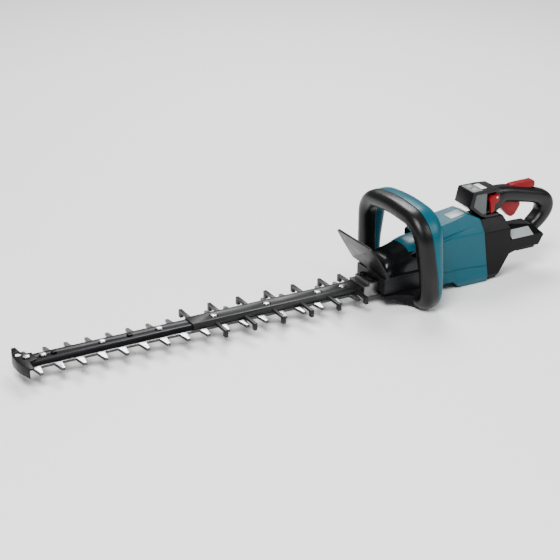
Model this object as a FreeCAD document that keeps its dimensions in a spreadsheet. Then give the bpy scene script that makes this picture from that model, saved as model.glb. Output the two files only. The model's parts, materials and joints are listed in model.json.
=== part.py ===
"""Cordless hedge trimmer: double-sided blades, front loop handle and a rear handle that swivels.

X runs along the blades, with the blade tip towards -X; Z is up. The origin is in the base plane, under
the middle of the flat foot of the main housing. Sizes are millimetres and degrees.
"""
import FreeCAD
import Part
import math
import os
import Sketcher
from FreeCAD import Placement, Rotation, Vector

SIZES = {
    # blades
    "tooth_pitch": 37.5, "tooth_count": 17, "tooth_reach": 43.5, "tooth_root": 14.0, "tooth_tip": 6.0,
    "spine_half": 20.0, "blade_thick": 2.4, "blade_low": 22.8, "blade_stroke": 9.0, "gap": 0.3,
    # guide bar and what is bolted to it
    "bar_root": -233.0, "root_tooth": 22.0, "bar_tip_inset": -14.0, "bar_thick": 7.2, "bar_top_half": 13.0,
    "bar_foot_half": 17.0, "bolt_radius": 3.7, "bolt_fit": 0.4, "bolt_head": 6.5, "bolt_head_high": 4.0,
    "tip_bolt_inset": 19.0, "root_bolt_inset": 31.0, "nut_radius": 6.0, "nut_high": 4.5,
    "pad_long": 9.0, "pad_wide": 7.0, "pad_high": 3.0, "pad_pitch": 135.0,
    "guard_length": 338.0, "guard_half": 16.0, "guard_thick": 2.4, "fin_reach": 57.0, "fin_wide": 6.0,
    "fin_high": 5.0, "fin_drop": 8.5, "fin_tip_long": 8.0, "fin_end": 10.75, "fin_root_near": 8.0,
    "fin_root_far": 24.0,
    "bumper_half": 43.0, "bumper_out": 28.0, "bumper_thick": 9.0, "bumper_hole": 7.0,
    "bracket_long": 32.0, "bracket_half": 26.0, "bracket_top": 44.0, "bracket_low": 19.0,
    # crank drive
    "crank_x": -150.0, "crank_radius": 5.0, "cam_radius": 14.5, "eye_wall": 3.5, "gear_low": 38.0,
    "gear_wide": 9.0, "gear_teeth": 60, "pinion_teeth": 12, "module": 1.0, "shaft_fit": 0.05,
    "case_front": -203.0, "case_rear": -97.0, "case_half": 46.0, "case_low": 6.0, "case_high": 51.0,
    "case_wall": 4.0, "cover_thick": 4.0, "nose_start": -140.0, "nose_rise": 21.0,
    # motor
    "motor_shaft_radius": 2.5, "rotor_radius": 12.5, "rotor_low": 59.0, "rotor_high": 20.0,
    "air_gap": 0.6, "stator_radius": 24.0, "fan_radius": 21.0, "fan_high": 5.0,
    "motor_cover_wall": 2.5, "cover_crown": 108.0, "bar_wall": 2.2, "motor_cover_half": 40.0,
    # main housing
    "house_front": -105.0, "house_half": 42.0, "house_wall": 3.0, "house_top": 138.0, "top_half": 24.0,
    "shoulder": 104.0, "foot_front": -30.0, "chin": 16.0, "seam_foot": 33.0, "seam_tilt": 8.95,
    # front handle
    "loop_x": -142.0, "loop_lean": 6.0, "loop_half": 101.0, "loop_high": 191.5, "loop_radius": 15.5,
    "loop_back": 44.0, "loop_wrap": 12.0, "loop_foot_back": 23.0, "loop_corner": 48.0, "loop_foot": 15.5,
    "loop_foot_end": 62.0, "skirt_high": 24.0,
    "guard_lean": 32.0, "hand_guard_high": 82.0, "hand_guard_half": 61.0, "hand_guard_thick": 3.5,
    # swivel
    "swivel_high": 69.0, "swivel_radius": 26.0, "swivel_bore": 19.0, "swivel_fit": 0.08,
    "seam_gap": 0.6,
    # rear handle
    "rear_half": 38.0, "rear_wall": 3.0, "rear_low": 2.0, "bay_top": 52.0, "bar_end": 162.0,
    "grip_half": 17.0, "grip_wall": 3.0, "console_half": 24.0, "console_front": -7.0,
    "console_high": 177.0, "console_wall": 2.5, "trigger_half": 6.5, "lock_half": 7.0,
    "pin_radius": 2.0, "pin_fit": 0.05,
}

doc = FreeCAD.newDocument("hedge_trimmer")
sheet = doc.addObject("Spreadsheet::Sheet", "Sizes")


class Size:
    """A length that carries both its value and the sheet formula that gives it."""

    def __init__(self, value, formula):
        self.value = float(value)
        self.formula = formula

    def __float__(self):
        return self.value

    def __add__(self, other):
        return mix(self, "+", other)

    def __radd__(self, other):
        return mix(other, "+", self)

    def __sub__(self, other):
        return mix(self, "-", other)

    def __rsub__(self, other):
        return mix(other, "-", self)

    def __mul__(self, other):
        return mix(self, "*", other)

    def __rmul__(self, other):
        return mix(other, "*", self)

    def __truediv__(self, other):
        return mix(self, "/", other)

    def __neg__(self):
        return mix(0, "-", self)


def size(value):
    """Make a plain number a Size."""
    if isinstance(value, Size):
        return value
    return Size(value, f"{value:.6f}")


def mix(first, sign, second):
    a = size(first)
    b = size(second)
    result = {"+": a.value + b.value, "-": a.value - b.value, "*": a.value * b.value}.get(sign)
    if sign == "/":
        result = a.value / b.value
    return Size(result, f"({a.formula} {sign} {b.formula})")


class Named:
    """The driving sizes, by name, as written in the sheet."""


def fill_sheet():
    named = Named()
    for row, (name, value) in enumerate(SIZES.items(), start=1):
        sheet.set(f"A{row}", name)
        sheet.set(f"B{row}", str(value))
        sheet.setAlias(f"B{row}", name)
        setattr(named, name, Size(value, f"Sizes.{name}"))
    doc.recompute()
    return named


s = fill_sheet()
nodes = {}

# sizes that several pieces share
upper_low = s.blade_low + s.blade_thick + s.gap
bar_low = upper_low + s.blade_thick + s.gap
bar_top = bar_low + s.bar_thick
root_tooth_x = s.bar_root - s.root_tooth
tip_tooth_x = root_tooth_x - s.tooth_pitch * (s.tooth_count - 1)
bar_tip = tip_tooth_x + s.bar_tip_inset
tip_bolt_x = tip_tooth_x + s.tip_bolt_inset
bolt_pitch = (s.bar_root - s.root_bolt_inset - tip_bolt_x) / 5.5
bolt_places = [tip_bolt_x + bolt_pitch * step for step in (0, 1, 2, 3, 4, 5, 5.5)]
bumper_bolt_x = tip_tooth_x - 9
eye_half_long = s.cam_radius + s.blade_stroke * 2 + 0.5
eye_half_wide = s.cam_radius + s.blade_stroke + 0.5
motor_x = s.crank_x + s.module * (s.gear_teeth + s.pinion_teeth) / 2
seam_slope = math.tan(math.radians(s.seam_tilt.value))
seam_slope = Size(seam_slope, "tan(Sizes.seam_tilt * 1deg)")


def seam_x(height):
    """Where the seam plane of the swivel lies at a height."""
    return s.seam_foot - (height - 2) * seam_slope


# ---------------------------------------------------------------- helpers

def bind(target, prop, value):
    """Set a property from a Size, with its sheet formula."""
    value = size(value)
    if "Sizes." in value.formula:
        target.setExpression(prop, value.formula)
    else:
        holder = target
        parts = prop.split(".")
        if len(parts) == 1:
            setattr(holder, prop, value.value)
        else:
            target.setExpression(prop, value.formula)


def keep(name, thing):
    """Name a finished sub-part after its file."""
    thing.Label = name
    nodes[name] = thing
    return thing


def place(thing, x=0, y=0, z=0, turn=None):
    if turn is not None:
        thing.Placement = Placement(Vector(0, 0, 0), turn)
    for axis, value in zip("xyz", (x, y, z)):
        bind(thing, f"Placement.Base.{axis}", value)
    return thing


def box(x_range, y_range, z_range):
    """A Part::Box between two corners."""
    made = doc.addObject("Part::Box", "Box")
    for prop, (low, high) in zip(("Length", "Width", "Height"), (x_range, y_range, z_range)):
        bind(made, prop, size(high) - low)
    return place(made, x_range[0], y_range[0], z_range[0])


def rod(radius, x, y, z_range, turn=None):
    """A Part::Cylinder that stands on a point."""
    made = doc.addObject("Part::Cylinder", "Rod")
    bind(made, "Radius", radius)
    bind(made, "Height", size(z_range[1]) - z_range[0])
    return place(made, x, y, z_range[0], turn)


def cut(base, *tools):
    """The base with each tool cut out of it."""
    for tool in tools:
        made = doc.addObject("Part::Cut", "Cut")
        made.Base = base
        made.Tool = tool
        base = made
    return base


def fuse(*things):
    made = doc.addObject("Part::MultiFuse", "Fuse")
    made.Shapes = list(things)
    return made


def overlap(first, second):
    """What two solids share."""
    made = doc.addObject("Part::Common", "Common")
    made.Base = first
    made.Tool = second
    return made


def group(name, things):
    """Identical pieces that share one node."""
    made = doc.addObject("Part::Compound", "Group")
    made.Links = list(things)
    return keep(name, made)


PLANES = {"XY": Rotation(), "XZ": Rotation(Vector(1, 0, 0), 90), "YZ": Rotation(Vector(1, 1, 1), 120)}
DIRECTIONS = {"XY": Vector(0, 0, 1), "XZ": Vector(0, 1, 0), "YZ": Vector(1, 0, 0)}


def draw(sketch, loops):
    """Draw closed outlines of straight lines, each corner held to its own two sheet formulas."""
    for loop in loops:
        first = sketch.GeometryCount
        count = len(loop)
        ends = [Vector(float(u), float(v), 0) for u, v in loop]
        for index in range(count):
            sketch.addGeometry(Part.LineSegment(ends[index], ends[(index + 1) % count]))
        for index, (u, v) in enumerate(loop):
            line = first + index
            before = first + (index - 1) % count
            sketch.addConstraint(Sketcher.Constraint("Coincident", before, 2, line, 1))
            for kind, value in (("DistanceX", u), ("DistanceY", v)):
                value = size(value)
                number = sketch.addConstraint(Sketcher.Constraint(kind, line, 1, value.value))
                if "Sizes." in value.formula:
                    sketch.setExpression(f"Constraints[{number}]", value.formula)
    return sketch


def prism(plane, loops, low, high):
    """A straight extrusion of outlines in a row plane, between two places along its normal."""
    sketch = doc.addObject("Sketcher::SketchObject", "Outline")
    sketch.Placement = Placement(Vector(0, 0, 0), PLANES[plane])
    draw(sketch, loops)
    made = doc.addObject("Part::Extrusion", "Prism")
    made.Base = sketch
    made.DirMode = "Custom"
    made.Dir = DIRECTIONS[plane]
    made.Solid = True
    bind(made, "LengthFwd", size(high) - low)
    axis = {"XY": "z", "XZ": "y", "YZ": "x"}[plane]
    bind(made, f"Placement.Base.{axis}", low)
    return made


def both_sides(points):
    """A half outline, given from bottom to top at +Y, closed by its mirror."""
    return points + [(-size(y), z) for y, z in reversed(points)]


def ring(outer, inner, x, y, z_range):
    """A bearing-like ring on a vertical axis."""
    return cut(rod(outer, x, y, z_range), rod(inner, x, y, (size(z_range[0]) - 1, size(z_range[1]) + 1)))


def hexagon(across, x, z_low, z_high, y=0):
    """A hexagonal head or nut on a vertical axis."""
    made = doc.addObject("Part::Prism", "Hex")
    made.Polygon = 6
    bind(made, "Circumradius", across)
    bind(made, "Height", size(z_high) - z_low)
    return place(made, x, y, z_low)


def pin_across(radius, x, z, half):
    """A pin along Y, centred on the middle plane."""
    made = doc.addObject("Part::Cylinder", "Pin")
    bind(made, "Radius", radius)
    bind(made, "Height", size(half) * 2)
    return place(made, x, -size(half), z, Rotation(Vector(1, 0, 0), -90))


# ---------------------------------------------------------------- blades and guide bar

def body_with_pad(name, plane, loops, low, height):
    """A PartDesign body whose first feature is a pad that starts at a place along the plane's normal."""
    body = doc.addObject("PartDesign::Body", name)
    sketch = body.newObject("Sketcher::SketchObject", "Profile")
    role = f"{plane}_Plane"
    base = [part for part in body.Origin.OriginFeatures if part.Role == role][0]
    sketch.AttachmentSupport = (base, [""])
    sketch.MapMode = "FlatFace"
    normal = -1 if plane == "XZ" else 1
    sketch.setExpression("AttachmentOffset.Base.z", (size(low) * normal).formula)
    draw(sketch, loops)
    pad = body.newObject("PartDesign::Pad", "Pad")
    pad.Profile = sketch
    pad.Reversed = plane == "XZ"
    bind(pad, "Length", height)
    sketch.Visibility = False
    return body, pad


def row_of(body, feature, step, count):
    """Repeat a feature towards -X."""
    pattern = body.newObject("PartDesign::LinearPattern", "Row")
    pattern.Originals = [feature]
    base = [part for part in body.Origin.OriginFeatures if part.Role == "X_Axis"][0]
    pattern.Direction = (base, [""])
    pattern.Reversed = True
    pattern.Mode = "Spacing"
    bind(pattern, "Offset", step)
    bind(pattern, "Occurrences", count)
    body.Tip = pattern
    return pattern


def second_pad(body, plane, loops, low, height, pocket=False):
    """A further pad or pocket on an origin plane of the same body."""
    sketch = body.newObject("Sketcher::SketchObject", "Profile")
    base = [part for part in body.Origin.OriginFeatures if part.Role == f"{plane}_Plane"][0]
    sketch.AttachmentSupport = (base, [""])
    sketch.MapMode = "FlatFace"
    normal = -1 if plane == "XZ" else 1
    sketch.setExpression("AttachmentOffset.Base.z", (size(low) * normal).formula)
    draw(sketch, loops)
    kind = "PartDesign::Pocket" if pocket else "PartDesign::Pad"
    made = body.newObject(kind, "Pocket" if pocket else "Pad")
    made.Profile = sketch
    made.Reversed = (plane == "XZ") != pocket
    bind(made, "Length", height)
    return made


def rectangle(x_low, x_high, y_half):
    return [(x_low, -size(y_half)), (x_high, -size(y_half)), (x_high, y_half), (x_low, y_half)]


def blade(name, low):
    """One reciprocating blade: a toothed spine, long bolt slots and the eye that its cam turns in."""
    spine_tip = tip_tooth_x - s.tooth_root / 2 - 1
    eye_front = s.crank_x - eye_half_long
    outer_long = eye_half_long + s.eye_wall
    outer_wide = eye_half_wide + s.eye_wall
    body, pad = body_with_pad(name, "XY", [rectangle(spine_tip, eye_front - 1, s.spine_half)], low,
                              s.blade_thick)
    root = s.tooth_root / 2
    tip = s.tooth_tip / 2
    tooth = [(root_tooth_x - root, -s.spine_half + 1), (root_tooth_x - tip, -s.tooth_reach),
             (root_tooth_x + tip, -s.tooth_reach), (root_tooth_x + root, -s.spine_half + 1),
             (root_tooth_x + root, s.spine_half - 1), (root_tooth_x + tip, s.tooth_reach),
             (root_tooth_x - tip, s.tooth_reach), (root_tooth_x - root, s.spine_half - 1)]
    teeth = second_pad(body, "XY", [tooth], low, s.blade_thick)
    row_of(body, teeth, s.tooth_pitch, s.tooth_count)
    second_pad(body, "XY", [rectangle(s.crank_x - outer_long, s.crank_x + outer_long, outer_wide)], low,
               s.blade_thick)
    second_pad(body, "XY", [rectangle(s.crank_x - eye_half_long, s.crank_x + eye_half_long, eye_half_wide)],
               low - 1,
               s.blade_thick + 2, pocket=True)
    half_slot = s.bolt_radius + s.blade_stroke + s.bolt_fit + 0.6
    slot_half_wide = s.bolt_radius + s.bolt_fit
    slots = [rectangle(x - half_slot, x + half_slot, slot_half_wide) for x in bolt_places]
    cutter = second_pad(body, "XY", slots, low - 1, s.blade_thick + 2, pocket=True)
    body.Tip = cutter
    return keep(name, body)


blade("upper_blade", upper_low)
blade("lower_blade", s.blade_low)


def guide_bar():
    half = both_sides([(s.bar_foot_half, bar_low), (s.bar_foot_half, bar_low + 2), (s.bar_top_half, bar_top)])
    foot = s.bar_foot_half - s.bar_wall
    hollow = both_sides([(foot, bar_low - 1), (foot, bar_low + 2),
                         (s.bar_top_half - s.bar_wall, bar_top - s.bar_wall)])
    bar = cut(prism("YZ", [half], bar_tip, s.bar_root), prism("YZ", [hollow], bar_tip - 1, s.bar_root + 1))
    holes = [rod(s.bolt_radius + s.shaft_fit, x, 0, (bar_low - 1, bar_top + 1)) for x in bolt_places]
    holes.append(rod(s.bolt_radius + s.shaft_fit, bumper_bolt_x, 0, (bar_low - 1, bar_top + 1)))
    return keep("guide_bar", cut(bar, *holes))


def bar_bolt(x, seat, foot):
    """A domed hex bolt that stands on a seat and reaches down to its foot."""
    head = hexagon(s.bolt_head, x, seat, seat + s.bolt_head_high * 0.6)
    dome = rod(s.bolt_head - 1.2, x, 0, (seat, seat + s.bolt_head_high))
    shank = rod(s.bolt_radius, x, 0, (foot, seat + 0.5))
    return fuse(head, dome, shank)


guide_bar()
bumper_plate = 3
through_bolts = [bar_bolt(x, bar_top, s.blade_low - 2) for x in bolt_places]
group("blade_bolts", through_bolts + [bar_bolt(bumper_bolt_x, bar_top + bumper_plate, bar_low)])


def bar_nut(x):
    low = s.blade_low - s.gap - s.nut_high
    nut = hexagon(s.nut_radius, x, low, s.blade_low - s.gap - 1)
    washer = rod(s.nut_radius + 2, x, 0, (s.blade_low - s.gap - 1, s.blade_low - s.gap))
    return cut(fuse(nut, washer), rod(s.bolt_radius, x, 0, (s.blade_low - 2, s.blade_low)))


group("blade_nuts", [bar_nut(x) for x in bolt_places])


def bar_pads():
    """Small wear pads on top of the bar, clear of the bolts and the blade guard."""
    made = []
    for step in (0, 1):
        x = tip_tooth_x + 38.5 + s.pad_pitch * step
        made.append(box((x - s.pad_long / 2, x + s.pad_long / 2), (-s.pad_wide / 2, s.pad_wide / 2),
                        (bar_top, bar_top + s.pad_high)))
    return group("bar_pads", made)


bar_pads()


def blade_guard():
    """The cover over the rear of the bar with its fingers, which reach past the teeth on both sides."""
    low = bar_top
    top = low + s.guard_thick
    skin = both_sides([(s.guard_half + 3, bar_low + 1), (s.guard_half + 3, bar_low + 3),
                       (s.guard_half - 1, top)])
    inner = both_sides([(s.bar_foot_half + 0.2, bar_low), (s.bar_foot_half + 0.2, bar_low + 2.1),
                        (s.bar_top_half + 0.2, bar_top)])
    front = s.bar_root - s.guard_length
    cover = cut(prism("YZ", [skin], front, s.bar_root - 1), prism("YZ", [inner], front - 1, s.bar_root + 1))
    fins = []
    step = (s.guard_length - s.root_tooth - s.fin_root_far - s.fin_end) / 5
    fin_low = bar_low + 1
    for side, inset in ((-1, s.fin_root_near), (1, -s.fin_root_far)):
        starts = [root_tooth_x + inset - step * number for number in range(6)]
        if side == 1:
            starts.append(root_tooth_x + 18.5)
        for x in starts:
            near = (s.guard_half + 2) * side
            far = s.fin_reach * side
            inner_y, outer_y = (near, far) if side == 1 else (far, near)
            fins.append(box((x - s.fin_wide / 2, x + s.fin_wide / 2), (inner_y, outer_y),
                            (fin_low, fin_low + s.fin_high)))
            knee = far - s.fin_tip_long * side
            inner_y, outer_y = (knee, far) if side == 1 else (far, knee)
            fins.append(box((x - s.fin_wide / 2, x + s.fin_wide / 2), (inner_y, outer_y),
                            (fin_low - s.fin_drop, fin_low + 1)))
    guard = fuse(cover, *fins)
    holes = [rod(s.bolt_head + 1.5, x, 0, (bar_top - 1, top + 1)) for x in bolt_places[2:]]
    return keep("blade_guard", cut(guard, *holes))


blade_guard()


def tip_bumper():
    """The rounded nose plate on the end of the bar, with its hanging hole."""
    half = s.bumper_half
    front = tip_tooth_x - s.bumper_out
    back = tip_tooth_x + 5
    clear_of_blades = tip_tooth_x - 19
    plan = [(back, -s.bar_top_half), (tip_tooth_x - 10, -s.bar_top_half - 4), (tip_tooth_x - 12, -half),
            (clear_of_blades, -half), (front + 3, -half * 0.6), (front, -half * 0.25), (front, half * 0.25),
            (front + 3, half * 0.6), (clear_of_blades, half), (tip_tooth_x - 12, half),
            (tip_tooth_x - 10, s.bar_top_half + 4), (back, s.bar_top_half)]
    plate = prism("XY", [plan], bar_top, bar_top + bumper_plate)
    nose_plan = [(clear_of_blades, -half), (front + 3, -half * 0.6), (front, -half * 0.25),
                 (front, half * 0.25),
                 (front + 3, half * 0.6), (clear_of_blades, half)]
    nose_low = s.blade_low - 2
    nose = prism("XY", [nose_plan], nose_low, bar_top + 1)
    hole = rod(s.bumper_hole, tip_tooth_x - 18, 17, (nose_low - 1, bar_top + 4))
    bolt_hole = rod(s.bolt_radius + s.shaft_fit, bumper_bolt_x, 0, (nose_low - 1, bar_top + 4))
    return keep("tip_bumper", cut(fuse(plate, nose), hole, bolt_hole))


tip_bumper()


def blade_bracket():
    """The bridge that clamps the root of the bar and leaves a tunnel for the two blades."""
    back = s.bar_root + s.bracket_long - 2
    front = s.bar_root
    block = box((front, back), (-s.bracket_half, s.bracket_half), (s.bracket_low, s.bracket_top))
    tunnel = box((front - 1, back + 1), (-s.spine_half - 0.6, s.spine_half + 0.6), (s.bracket_low - 1, bar_low))
    seat = box((front - 1, front + 12), (-s.bracket_half - 1, s.bracket_half + 1),
               (s.bracket_top - 5, s.bracket_top + 1))
    return keep("blade_bracket", cut(block, tunnel, seat))


blade_bracket()


def bracket_bolts():
    x = s.bar_root + 21
    bolts = []
    for side in (-1, 1):
        head = hexagon(s.bolt_head, x, s.bracket_top, s.bracket_top + 5, side * s.bracket_half * 0.5)
        bolts.append(head)
    return group("bracket_bolts", bolts)


bracket_bolts()


# ---------------------------------------------------------------- gear case and crank drive

def under_nose(x):
    """How high the underside has risen at a place towards the blades."""
    return (s.nose_start - x) * s.nose_rise / (s.nose_start - s.case_front + 3)


def nose_wedge(half):
    """What is cut away under the nose."""
    tip = s.case_front - 10
    return prism("XZ", [[(s.nose_start, 0), (s.nose_start, -2), (tip, -2), (tip, under_nose(tip))]], -half,
                 half)


def gear_case():
    """The cast tray that holds the crank, open at the top and with a mouth for the blades."""
    outer = box((s.case_front, s.case_rear), (-s.case_half, s.case_half), (s.case_low, s.case_high))
    wall = s.case_wall
    inner = box((s.case_front + wall, s.case_rear - wall), (-s.case_half + wall, s.case_half - wall),
                (s.case_low + wall, s.case_high + 1))
    mouth = box((s.case_front - 1, s.case_front + wall + 8), (-s.spine_half - 1, s.spine_half + 1),
                (s.blade_low - 1, bar_low + 1))
    first = s.case_front + 1
    last = s.crank_x - 10
    floor = [(first, s.case_low + 0.5), (first, under_nose(first) + 3), (last, under_nose(last) + 3),
             (last, s.case_low + 0.5)]
    sloping_floor = prism("XZ", [floor], -s.case_half + 1, s.case_half - 1)
    seat = rod(9.0, s.crank_x, 0, (s.case_low + wall - 2.5, s.case_low + wall + 1))
    boss = rod(13.0, s.crank_x, 0, (s.case_low + wall - 0.5, s.case_low + wall + 3))
    tray = fuse(cut(outer, inner), boss, sloping_floor)
    return keep("gear_case", cut(tray, mouth, nose_wedge(70), seat, rod(9.0, s.crank_x, 0, (9, 15))))


gear_case()


def gear_cover():
    """The lid over the crank, with seats for the upper crank bearing and the motor's lower bearing."""
    low = s.case_high
    top = low + s.cover_thick
    lid = box((s.case_front, s.case_rear + 18), (-s.case_half, s.case_half), (low, top))
    crank_seat = rod(9.0, s.crank_x, 0, (low - 1, top + 1))
    motor_seat = rod(7.0, motor_x, 0, (low - 1, top + 1))
    return keep("gear_cover", cut(lid, crank_seat, motor_seat))


gear_cover()

crank_low = s.case_low + s.case_wall - 2.5
crank_top = s.case_high + s.cover_thick + 0.6
keep("crank_shaft", rod(s.crank_radius, s.crank_x, 0, (crank_low + 0.1, crank_top)))
group("crank_bearings", [
    ring(Size(9, "9"), s.crank_radius + s.shaft_fit, s.crank_x, 0, (crank_low, crank_low + 6)),
    ring(Size(9, "9"), s.crank_radius + s.shaft_fit, s.crank_x, 0, (s.case_high, s.case_high + 5))])


def cam(name, low, side):
    """An eccentric disc; the two stand opposite each other, half a turn apart."""
    disc = rod(s.cam_radius, s.crank_x, s.blade_stroke * side, (low, low + s.blade_thick))
    return keep(name, cut(disc, rod(s.crank_radius, s.crank_x, 0, (low - 1, low + s.blade_thick + 1))))


cam("upper_cam", upper_low, 1)
cam("lower_cam", s.blade_low, -1)


def involute_outline(teeth, module, backlash, start_angle):
    """A spur gear's outline with involute flanks, as a closed wire about the origin."""
    pitch_radius = teeth * module / 2
    base_radius = pitch_radius * math.cos(math.radians(20))
    root_radius = pitch_radius - 1.25 * module
    tip_radius = pitch_radius + module
    involute = math.tan(math.radians(20)) - math.radians(20)
    half_at_base = math.pi / (2 * teeth) - backlash / (2 * pitch_radius) + involute
    flank = []
    low_radius = max(base_radius, root_radius)
    for step in range(5):
        radius = low_radius + (tip_radius - low_radius) * step / 4
        roll = math.acos(min(1.0, base_radius / radius))
        flank.append((radius, half_at_base - (math.tan(roll) - roll)))
    points = []
    for tooth in range(teeth):
        middle = start_angle + 2 * math.pi * tooth / teeth
        points.append((root_radius, middle - half_at_base))
        points += [(radius, middle - angle) for radius, angle in flank]
        points += [(radius, middle + angle) for radius, angle in reversed(flank)]
        points.append((root_radius, middle + half_at_base))
    corners = []
    for radius, angle in points:
        corner = Vector(radius * math.cos(angle), radius * math.sin(angle), 0)
        if not corners or corner.distanceToPoint(corners[-1]) > 1e-4:
            corners.append(corner)
    return Part.makePolygon(corners + [corners[0]])


def spur_gear(name, teeth, x, low, high, bore, start_angle):
    """A gear whose sizes come from the sheet; its flanks are worked out, so it is a plain feature."""
    outline = involute_outline(int(teeth.value), s.module.value, 0.12 * s.module.value, start_angle)
    solid = Part.Face(outline).extrude(Vector(0, 0, float(high) - float(low)))
    hole = Part.makeCylinder(float(bore), float(high) - float(low) + 2, Vector(0, 0, -1))
    made = doc.addObject("Part::Feature", name)
    made.Shape = solid.cut(hole)
    made.Placement = Placement(Vector(float(x), 0, float(low)), Rotation())
    return keep(name, made)


gear_high = s.gear_low + s.gear_wide
spur_gear("crank_gear", s.gear_teeth, s.crank_x, s.gear_low, gear_high, s.crank_radius, 0.0)
spur_gear("pinion", s.pinion_teeth, motor_x, s.gear_low, gear_high, s.motor_shaft_radius,
          math.pi * (1 + 1 / s.pinion_teeth.value))

# ---------------------------------------------------------------- motor
rotor_top = s.rotor_low + s.rotor_high
fan_low = rotor_top + 4
keep("motor_shaft", rod(s.motor_shaft_radius, motor_x, 0, (s.gear_low - 0.5, fan_low + s.fan_high + 7)))
keep("rotor", cut(rod(s.rotor_radius, motor_x, 0, (s.rotor_low, rotor_top)),
                  rod(s.motor_shaft_radius, motor_x, 0, (s.rotor_low - 1, rotor_top + 1))))


def spoke(x_range, y_half, z_range, angle):
    """A box that points outwards from the motor's axis at an angle."""
    made = doc.addObject("Part::Box", "Spoke")
    bind(made, "Length", size(x_range[1]) - x_range[0])
    bind(made, "Width", size(y_half) * 2)
    bind(made, "Height", size(z_range[1]) - z_range[0])
    turn = Rotation(Vector(0, 0, 1), angle)
    corner = turn.multVec(Vector(float(x_range[0]), -float(y_half), 0))
    return place(made, motor_x + corner.x, corner.y, z_range[0], turn)


def stator():
    """The ring of teeth and windings round the rotor."""
    core = ring(s.stator_radius, s.rotor_radius + s.air_gap, motor_x, 0, (s.rotor_low, rotor_top))
    reach = (14.5, s.stator_radius - 3.5)
    slots = [spoke(reach, 2.2, (s.rotor_low - 1, rotor_top + 1), 60 * number + 30) for number in range(6)]
    return keep("stator", cut(core, *slots))


stator()


def motor_fan():
    """A flat disc with straight blades that throws the cooling air outwards."""
    disc = rod(s.fan_radius, motor_x, 0, (fan_low, fan_low + 1.5))
    hub = rod(7.0, motor_x, 0, (fan_low, fan_low + s.fan_high))
    vanes = [spoke((6.5, s.fan_radius - 1), 0.6, (fan_low + 1, fan_low + s.fan_high), 40 * number)
             for number in range(9)]
    bore = rod(s.motor_shaft_radius, motor_x, 0, (fan_low - 1, fan_low + s.fan_high + 1))
    return keep("motor_fan", cut(fuse(disc, hub, *vanes), bore))


motor_fan()
bearing_bore = s.motor_shaft_radius + s.shaft_fit
motor_top_low = fan_low + s.fan_high + 1
group("motor_bearings", [ring(Size(7, "7"), bearing_bore, motor_x, 0, (s.case_high, s.case_high + 4.5)),
                         ring(Size(7, "7"), bearing_bore, motor_x, 0, (motor_top_low, motor_top_low + 4.5))])


def motor_frame():
    """The cage that stands on the gear cover and holds the stator and the upper bearing."""
    low = s.case_high + s.cover_thick
    top = motor_top_low + 6
    shell = ring(s.stator_radius + 2, s.stator_radius + 0.02, motor_x, 0, (low, top))
    roof = ring(s.stator_radius + 1, Size(7, "7"), motor_x, 0, (motor_top_low, top))
    floor = ring(s.stator_radius + 1, Size(7.4, "7.4"), motor_x, 0, (low, low + 2))
    windows = [spoke((-40, 40), 7, (fan_low - 1, fan_low + s.fan_high - 0.5),
                     45 * number) for number in range(4)]
    return keep("motor_frame", cut(fuse(shell, roof, floor), *windows))


motor_frame()


# ---------------------------------------------------------------- front covers and main housing

def motor_cover():
    """The black nose cover over the gear case and the motor, with an oval inlet on each side."""
    low = s.case_high + s.cover_thick
    rear = s.house_front
    front = s.case_front + 7
    dip = s.crank_x - 2
    rise = motor_x - 24
    crown = s.cover_crown
    side = [(rear, low), (front, low), (front + 2, crown - 28), (front + 16, crown - 21), (dip, crown - 15),
            (rise, crown - 8), (rear, crown)]
    half = s.motor_cover_half
    section = both_sides([(half, low - 1), (half, crown - 32), (half - 5, crown - 20),
                          (half - 10.5, crown - 10),
                          (half - 20, crown - 4), (half - 28, crown + 1)])
    wall = s.motor_cover_wall
    inside = crown - wall
    inner_side = [(rear + 1, low - 1), (front + wall, low - 1), (front + wall + 2, inside - 28),
                  (front + 17, inside - 21),
                  (dip + 0.5, inside - 15), (rise + 0.5, inside - 8), (rear + 1, inside)]
    inner_section = both_sides([(half - wall, low - 2), (half - wall, crown - 32.5),
                                (half - 5 - wall, crown - 20.5),
                                (half - 12, crown - 11.5), (half - 21, crown - 6), (half - 29, crown)])
    outer = overlap(prism("XZ", [side], -half - 1, half + 1), prism("YZ", [section], front - 1, rear + 1))
    inner = overlap(prism("XZ", [inner_side], -half, half), prism("YZ", [inner_section], front, rear + 2))
    inlet = box((s.crank_x + 10, s.crank_x + 28), (-half - 2, half + 2), (crown - 27, crown - 18))
    return keep("motor_cover", cut(outer, inner, inlet))


motor_cover()


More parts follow.
